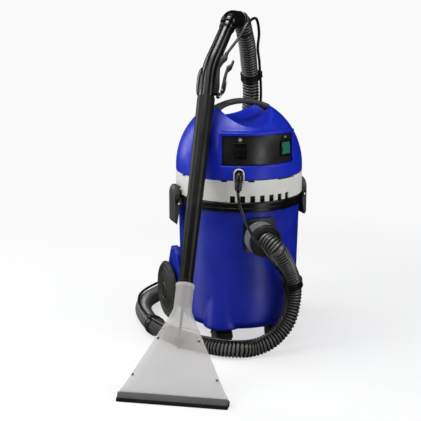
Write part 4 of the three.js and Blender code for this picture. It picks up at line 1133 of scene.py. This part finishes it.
def nozzle():
    """A clear fan-shaped shell with a seam across its shoulder, and a round neck."""
    z, a, b, y = (np.array(column, float) for column in zip(*NOZZLE))
    fine = np.concatenate([[20.3, 21, 22.5], np.linspace(25, 304, 90), [306.5, 308.5, 309.6, 310]])
    half_x, half_y, offset = (smooth_through(z, values, fine) for values in (a, b, y))
    inset = np.array([1.6, 0.7, 0.2] + [0] * 90 + [0.15, 0.5, 1.1, 2.0])
    power = np.interp(fine, [20, 120, 200, 245], [2.9, 2.6, 2.2, 2.0])
    sides, verts = 96, []
    for level, middle, wide, deep, squareness in zip(fine, offset, half_x - inset, half_y - inset, power):
        for k in range(sides):
            across, out = squircle(2 * math.pi * k / sides, wide, deep, squareness)
            verts.append((across, middle + out, level))
    faces = rows_to_faces(len(fine), sides) + end_caps(len(fine), sides)
    skin = crisp(new_object("nozzle_skin", verts, faces), 55)
    level = 186
    deep, middle = np.interp(level, z, b), np.interp(level, z, y)
    line = []
    for x in np.linspace(-50.5, 50.5, 41):
        front = middle - 0.1 - deep * (1 - (abs(x) / 51.5) ** 2.4) ** (1 / 2.4)
        line.append((x, front, level + 6 * (1 - (x / 51) ** 2)))
    seam = tube("seam", np.array(line), 0.9, 10)
    rim_band = lathe("neck_rim", rounded([(23.2, 298), (24.6, 299.5), (24.6, 308), (23.2, 309.5)], 0.8, 3), 96, True)
    piece(on_wand(merged("nozzle_moulding", skin, seam, rim_band)), "wand", "clear_plastic",
          "nozzle_front_shell", "nozzle_back_shell")
    lip_and_rubber()
    jet = brick("jet", (-13.4, -5.6, 149.6), (13.4, 8.4, 167.4), 2.2, 3)
    tip = rod("tip", (0, 0, 150.5), (0, 0, 139), 4, 2.4, rounding=0.6)
    feed = rod("feed", (0, 0, 167), (0, 0, 262), 3.2, rounding=0.5)
    piece(on_wand(merged("jet_block", jet, tip, feed)), "wand", "black_plastic", "spray_jet")
    for index, (x, up, depth) in enumerate(screw_places()):
        profile = [(0, -3.6), (3.6, -3.6), (3.6, -1.2), (2.1, -1.2), (2.1, 5), (0, 5)]
        profile = rounded(profile, [0, 1.1, .3, .2, .3, 0], 3, closed=False)
        screw = lathe(f"nozzle_fastener_{index + 1}", profile, 32)
        shift(screw, (x, depth, up), Matrix.Rotation(-math.pi / 2, 4, "X"))
        for wide, tall in ((2.6, 0.5), (0.5, 2.6)):
            carve(screw, brick("drive", (x - wide, depth - 5, up - tall), (x + wide, depth - 2.9, up + tall), 0))
        piece(on_wand(crisp(screw, 40)), "wand", "steel", f"nozzle_screw_{index + 1}")


def smooth_through(known, values, wanted):
    """A smooth curve through known heights, by the same rule as the hose's."""
    curve = catmull([(k, v, 0) for k, v in zip(known, values)], 10)
    return np.interp(wanted, curve[:, 0], curve[:, 1])


def screw_places():
    """Across, up and depth of the four nozzle screws, each on the front skin."""
    places = []
    for x, z, a, b, y in ((53, 162, 64, 15.9, 1.6), (108, 67, 114, 13, 3.2)):
        depth = y - b * math.sqrt(1 - (x / a) ** 2)
        places += [(-x, z, depth), (x, z, depth)]
    return places


def level_cut(top, bottom, obj):
    """Keeps what lies between two heights above the ground, measured straight up."""
    for low, high in ((bottom - 400, bottom), (top, top + 400)):
        carve(obj, brick("slab", (-700, -900, low), (300, 100, high), 0))
    return obj


def lip_and_rubber():
    """A clear bar along the nozzle's mouth with a wiping rubber under it, both with the suction slot."""
    half, foot = 141.5, FOOT[2]

    def block(name, grow):
        x, front, back = half + grow, -9 - grow, 17 + grow
        body = prism(name, rounded([(-x, front), (x, front), (x, back), (-x, back)], 5, 5), 70)
        return carve(shift(body, (0, 0, -45)), brick("slot", (-half + 12, 0, -80), (half - 12, 8, 80), 0))

    lip = block("lip_bar", 0)
    carve(lip, brick("above", (-200, -60, 20), (200, 60, 90), 0))
    soften(level_cut(foot + 200, foot + 8.3, on_wand(lip)), 1.8, 3, 40)
    piece(lip, "wand", "grey_plastic", "nozzle_lip", material="lip_grey")
    rubber = level_cut(foot + 8.0, foot, on_wand(block("lip_seal", 1)))
    piece(soften(rubber, 1.4, 3, 40), "wand", "seal_rubber", "lip_rubber")


def wand_tube():
    profile = [(18.1, 252), (24.6, 838), (23, 838), (16.5, 252)]
    bar = lathe("tube_skin", rounded(profile, [.5, 1, .5, .5], 4), 96, closed=True)
    bead = lathe("bead", rounded([(18.6, 312), (20.2, 312.8), (20.2, 317), (18.7, 318)], 0.8, 3), 96, closed=True)
    piece(on_wand(merged("wand_pipe", crisp(bar, 50), bead)), "wand", "black_plastic", "wand_tube",
          material="tube_plastic")


def grip():
    """A bent tube that plugs into the wand tube, with a hand swell in front of the bend and two end bands."""
    bend = np.array([0, 0, GRIP_BEND])
    end = bend + GRIP_LENGTH * GRIP_TURN
    along = GRIP_TURN / np.linalg.norm(GRIP_TURN)
    knots = [(0, 0, 826), (0, 0, 870), tuple(bend - [0, 0, 18]), tuple(bend + 18 * along), tuple(bend + 60 * along),
             tuple(end)]
    path = resample(catmull(knots, 14), 2)
    radius = np.interp(np.linspace(0, 1, len(path)), [0, 0.41, 0.9, 0.985, 1], [22.3, 21.2, 19.8, 19.5, 19])
    parts = [tube("body", path, radius, 64)]
    swell = []
    for k in np.linspace(-0.995, 0.995, 41):
        fullness = (1 - abs(k) ** 3) ** 0.4
        swell.append((884 + 48 * k, -11, -2, 20 * fullness, 16 * fullness))
    parts.append(loft("swell", swell, 48))
    for low, high, r in ((15, 1, 22.5), (19, 16, 21.0)):
        parts.append(rod("band", end - low * along, end - high * along, r, rounding=1.2, sides=72))
    piece(on_wand(merged("grip_moulding", *parts)), "wand", "black_plastic", "grip", material="grip_black")


def turned_slab(name, outline, half, width, rounding=1.2):
    """An outline in the plane across the grip, turned a little towards the machine."""
    obj = facing_front(prism(name, rounded(outline, rounding, 3), 2 * half), y=half)
    soften(obj, width, 3, 50)
    return turn(obj, SIDE_TURN, "Z")


def trigger():
    """The spray valve on the grip's inner side, and the lever with its pale guard and pin."""
    valve = [(14, 852), (30, 852), (33.5, 868), (33, 880), (30.5, 905), (29, 935), (38, 953), (47, 964),
             (47, 972), (34, 974), (14, 950)]
    valve = turned_slab("valve", valve, 8, 2.0, 2.0)
    carve(valve, turn(rod("open", (40.5, -20, 866), (40.5, 20, 866), 6.2), SIDE_TURN, "Z"))
    spout = turn(rod("spout", (37, 0, 858), (30, 0, 843), 5.4, 4.8, rounding=1), SIDE_TURN, "Z")
    piece(on_wand(merged("valve_skin", crisp(valve, 40), spout)), "wand", "black_plastic", "valve_body")
    lever = [(36.8, 866), (39, 860.5), (45, 858), (49, 864), (49, 898), (52, 925), (62, 937), (67, 958),
             (61, 962), (57, 949), (47, 941), (41, 908), (38.4, 880)]
    lever = turned_slab("lever", lever, 7, 1.6, 2.2)
    pin = turn(rod("trigger_pin_bar", (40.5, -7.8, 866), (40.5, 7.8, 866), 2.2, rounding=0.5), SIDE_TURN, "Z")
    piece(on_wand(lever), "trigger", "grey_plastic", "trigger_lever", material="gloss_black")
    guard = [(33, 845), (38, 845), (50, 872), (53, 901), (50.6, 898), (50.4, 868), (44, 857)]
    piece(on_wand(turned_slab("lever_guard", guard, 4.5, 0.8, 0.8)), "trigger", "light_grey_plastic")
    piece(on_wand(pin), "trigger", "steel")


def hose_cuff():
    """A smooth crown on the end of the grip, then ribs like the hose's down to where the hose starts."""
    turn_dir = WAND_FRAME[:3, :3] @ (GRIP_TURN / np.linalg.norm(GRIP_TURN))
    start = wand_point(*(np.array([0, 0, GRIP_BEND]) + GRIP_LENGTH * GRIP_TURN)) + 0.3 * turn_dir
    out = hose_tangent[-1]
    hose_end = hose_path[-1] + 0.5 * out
    corner, crown = start + 22 * turn_dir, hose_end + 42 * out
    route = np.array(rounded([start, corner, crown, hose_end], [0, 24, 24, 0], 14, closed=False))
    path = resample(catmull(route, 3), RIB_STEP)
    split = int(0.55 * len(path))
    t = np.linspace(0, 1, split)
    radius = np.interp(t, [0, .03, .2, .24, .94, 1], [23.6, 25.2, 25.4, 24.2, 24.2, 23])
    skin = crisp(tube("cuff_skin", path[:split], radius, 64, bore=18), 50)
    piece(skin, "wand", "black_plastic", "hose_cuff", material="grip_black")
    ribbed = path[split - 4:]
    ribbed_end("cuff_ribs", "wand", ribbed, np.arange(len(ribbed)) * RIB_STEP / RIB_PITCH, HOSE_VALLEY, HOSE_R, 18)


# ------------------------------------------------------------------ inside, seen when the head is off


def inside():
    """The float and its cage under the head; the other inner pieces keep their CAD meshes."""
    cage = [(32, 312), (37, 312), (37, 375), (46, 375), (46, 381), (30, 381), (30, 372), (32, 372)]
    basket = lathe("cage", rounded(cage, 0.8, 3), 96, closed=True)
    for x, y in ((60, 14), (14, 60)):
        carve(basket, brick("window", (-x, -y, 322), (x, y, 362), 0))
    base = lathe("base", rounded([(12, 312), (33, 312), (33, 315), (12, 315)], 0.6, 2), 72, closed=True)
    piece(merged("float_basket", crisp(basket, 40), base), "head", "white_plastic", "float_cage")
    ball = lathe("float_sphere", [(max(0.0, 25 * math.cos(a)), 341 + 25 * math.sin(a))
                                  for a in np.linspace(-math.pi / 2, math.pi / 2, 49)], 72)
    piece(ball, "float", "white_plastic", "float_ball")
    keep_cad()


def keep_cad():
    """The CAD nodes that stay as they are get the finish of their slot in the record."""
    for part in frame["record"]["subparts"]:
        mesh = frame["nodes"][part["node"]].data
        mesh.materials.clear()
        mesh.materials.append(MATERIALS[part["material_slot"]])


# ------------------------------------------------------------------ studio

FADE = (700.0, 1700.0)
SURROUND = 0.95
FLOOR_GLOW = 0.62
AMBIENT = 0.42
MIRRORED = 0.0
AIM = Vector((0, 0, 0.3))
# Name, azimuth from the front, distance, height, width and height of the panel, watts, and whether it only
# shows as a reflection.
LAMPS = [
    ("key", -82, 1900, 1800, 900, 1700, 34, False),
    ("fill", 42, 2200, 1500, 1000, 1400, 32, False),
    ("rim", -138, 2100, 1300, 800, 1800, 30, False),
    ("top", -40, 500, 2400, 1200, 1200, 16, False),
    ("sheen_left", -104, 1800, -100, 700, 1500, 9, True),
    ("sheen_right", 20, 2000, -200, 450, 1300, 9, True),
    ("sheen_grip", -50, 450, 3300, 1200, 700, 90, True),
]
CAMERA = {"azimuth": -21.0, "distance": 3000.0, "height": 1014.0, "yaw": -19.447, "down": 13.24, "lens": 91.2}


def around(azimuth, distance, height):
    """A place round the machine, in metres; the azimuth is counted from its front."""
    a = math.radians(azimuth)
    return Vector((distance * math.sin(a), -distance * math.cos(a), height)) * MM


def studio_floor():
    """A pale floor that takes shadows, fades into the surround, and is left out of reflections."""
    ground = brick("floor", (-30000, -30000, FLOOR - 40), (30000, 30000, FLOOR - 0.2), 0)
    paper = bpy.data.materials.new("paper")
    paper.use_nodes = True
    tree = paper.node_tree
    link = tree.links.new
    shader = tree.nodes["Principled BSDF"]
    shader.inputs["Base Color"].default_value = (0.8, 0.8, 0.8, 1)
    shader.inputs["Specular IOR Level"].default_value = 0.1
    grain = add_node(tree, "TexNoise", Scale=300)
    rough = add_node(tree, "MapRange", To_Min=0.5, To_Max=0.65)
    link(grain.outputs["Fac"], rough.inputs["Value"])
    link(rough.outputs["Result"], shader.inputs["Roughness"])
    away = tree.nodes.new("ShaderNodeVectorMath")
    away.operation = "LENGTH"
    link(tree.nodes.new("ShaderNodeTexCoord").outputs["Object"], away.inputs[0])
    fade = add_node(tree, "MapRange", To_Min=FLOOR_GLOW, From_Min=FADE[0] * MM, From_Max=FADE[1] * MM)
    fade.interpolation_type = "SMOOTHSTEP"
    link(away.outputs["Value"], fade.inputs["Value"])
    glow = add_node(tree, "Emission", Color=(1, 1, 1, 1), Strength=SURROUND)
    camera_ray = tree.nodes.new("ShaderNodeLightPath").outputs["Is Camera Ray"]
    white = product(tree, fade.outputs["Result"], camera_ray)
    mixed_shaders(tree, white, shader.outputs[0], glow.outputs[0], "Material Output")
    ground.data.materials.append(paper)
    ground.visible_glossy = False
    ground.visible_shadow = False


def surround():
    """White to the camera, a dim cool light on matt surfaces, and dark in reflections."""
    world = bpy.data.worlds.new("studio")
    world.use_nodes = True
    sky = world.node_tree
    link = sky.links.new
    seen = sky.nodes["Background"]
    seen.inputs["Strength"].default_value = SURROUND
    seen.inputs["Color"].default_value = (1, 1, 1, 1)
    lit = add_node(sky, "Background", Color=(0.92, 0.95, 1, 1))
    rays = sky.nodes.new("ShaderNodeLightPath")
    dim = add_node(sky, "MapRange", To_Min=AMBIENT, To_Max=MIRRORED)
    link(rays.outputs["Is Glossy Ray"], dim.inputs["Value"])
    link(dim.outputs["Result"], lit.inputs["Strength"])
    mixed_shaders(sky, rays.outputs["Is Camera Ray"], lit.outputs[0], seen.outputs[0], "World Output")
    bpy.context.scene.world = world
    bpy.context.scene.view_settings.view_transform = "Standard"


def lamps():
    for name, azimuth, distance, height, wide, tall, watts, mirrored_only in LAMPS:
        lamp = bpy.data.lights.new(name, "AREA")
        lamp.energy = watts
        lamp.shape = "RECTANGLE"
        lamp.size, lamp.size_y = wide * MM, tall * MM
        obj = bpy.data.objects.new(name, lamp)
        obj.location = around(azimuth, distance, height)
        obj.rotation_euler = (AIM - obj.location).to_track_quat("-Z", "Y").to_euler()
        obj.visible_diffuse = not mirrored_only
        bpy.context.scene.collection.objects.link(obj)


def camera():
    data = bpy.data.cameras.new("camera")
    data.lens = CAMERA["lens"]
    data.sensor_width = 36
    data.clip_end = 50
    obj = bpy.data.objects.new("camera", data)
    obj.location = around(CAMERA["azimuth"], CAMERA["distance"], CAMERA["height"])
    obj.rotation_euler = (math.radians(90 - CAMERA["down"]), 0, math.radians(CAMERA["yaw"]))
    bpy.context.scene.collection.objects.link(obj)
    bpy.context.scene.camera = obj


# ------------------------------------------------------------------ build

tank_shell()
rim()
latches()
casters()
rear_wheels()
rear_carriage()
head_dome()
head_ring()
carry_handle()
control_panel()
outlet_coupler()
power_inlet()
inlet()
suction_hose()
clips()
thin_tail(thin_hose())
nozzle()
wand_tube()
grip()
trigger()
hose_cuff()
inside()
studio_floor()
surround()
lamps()
camera()
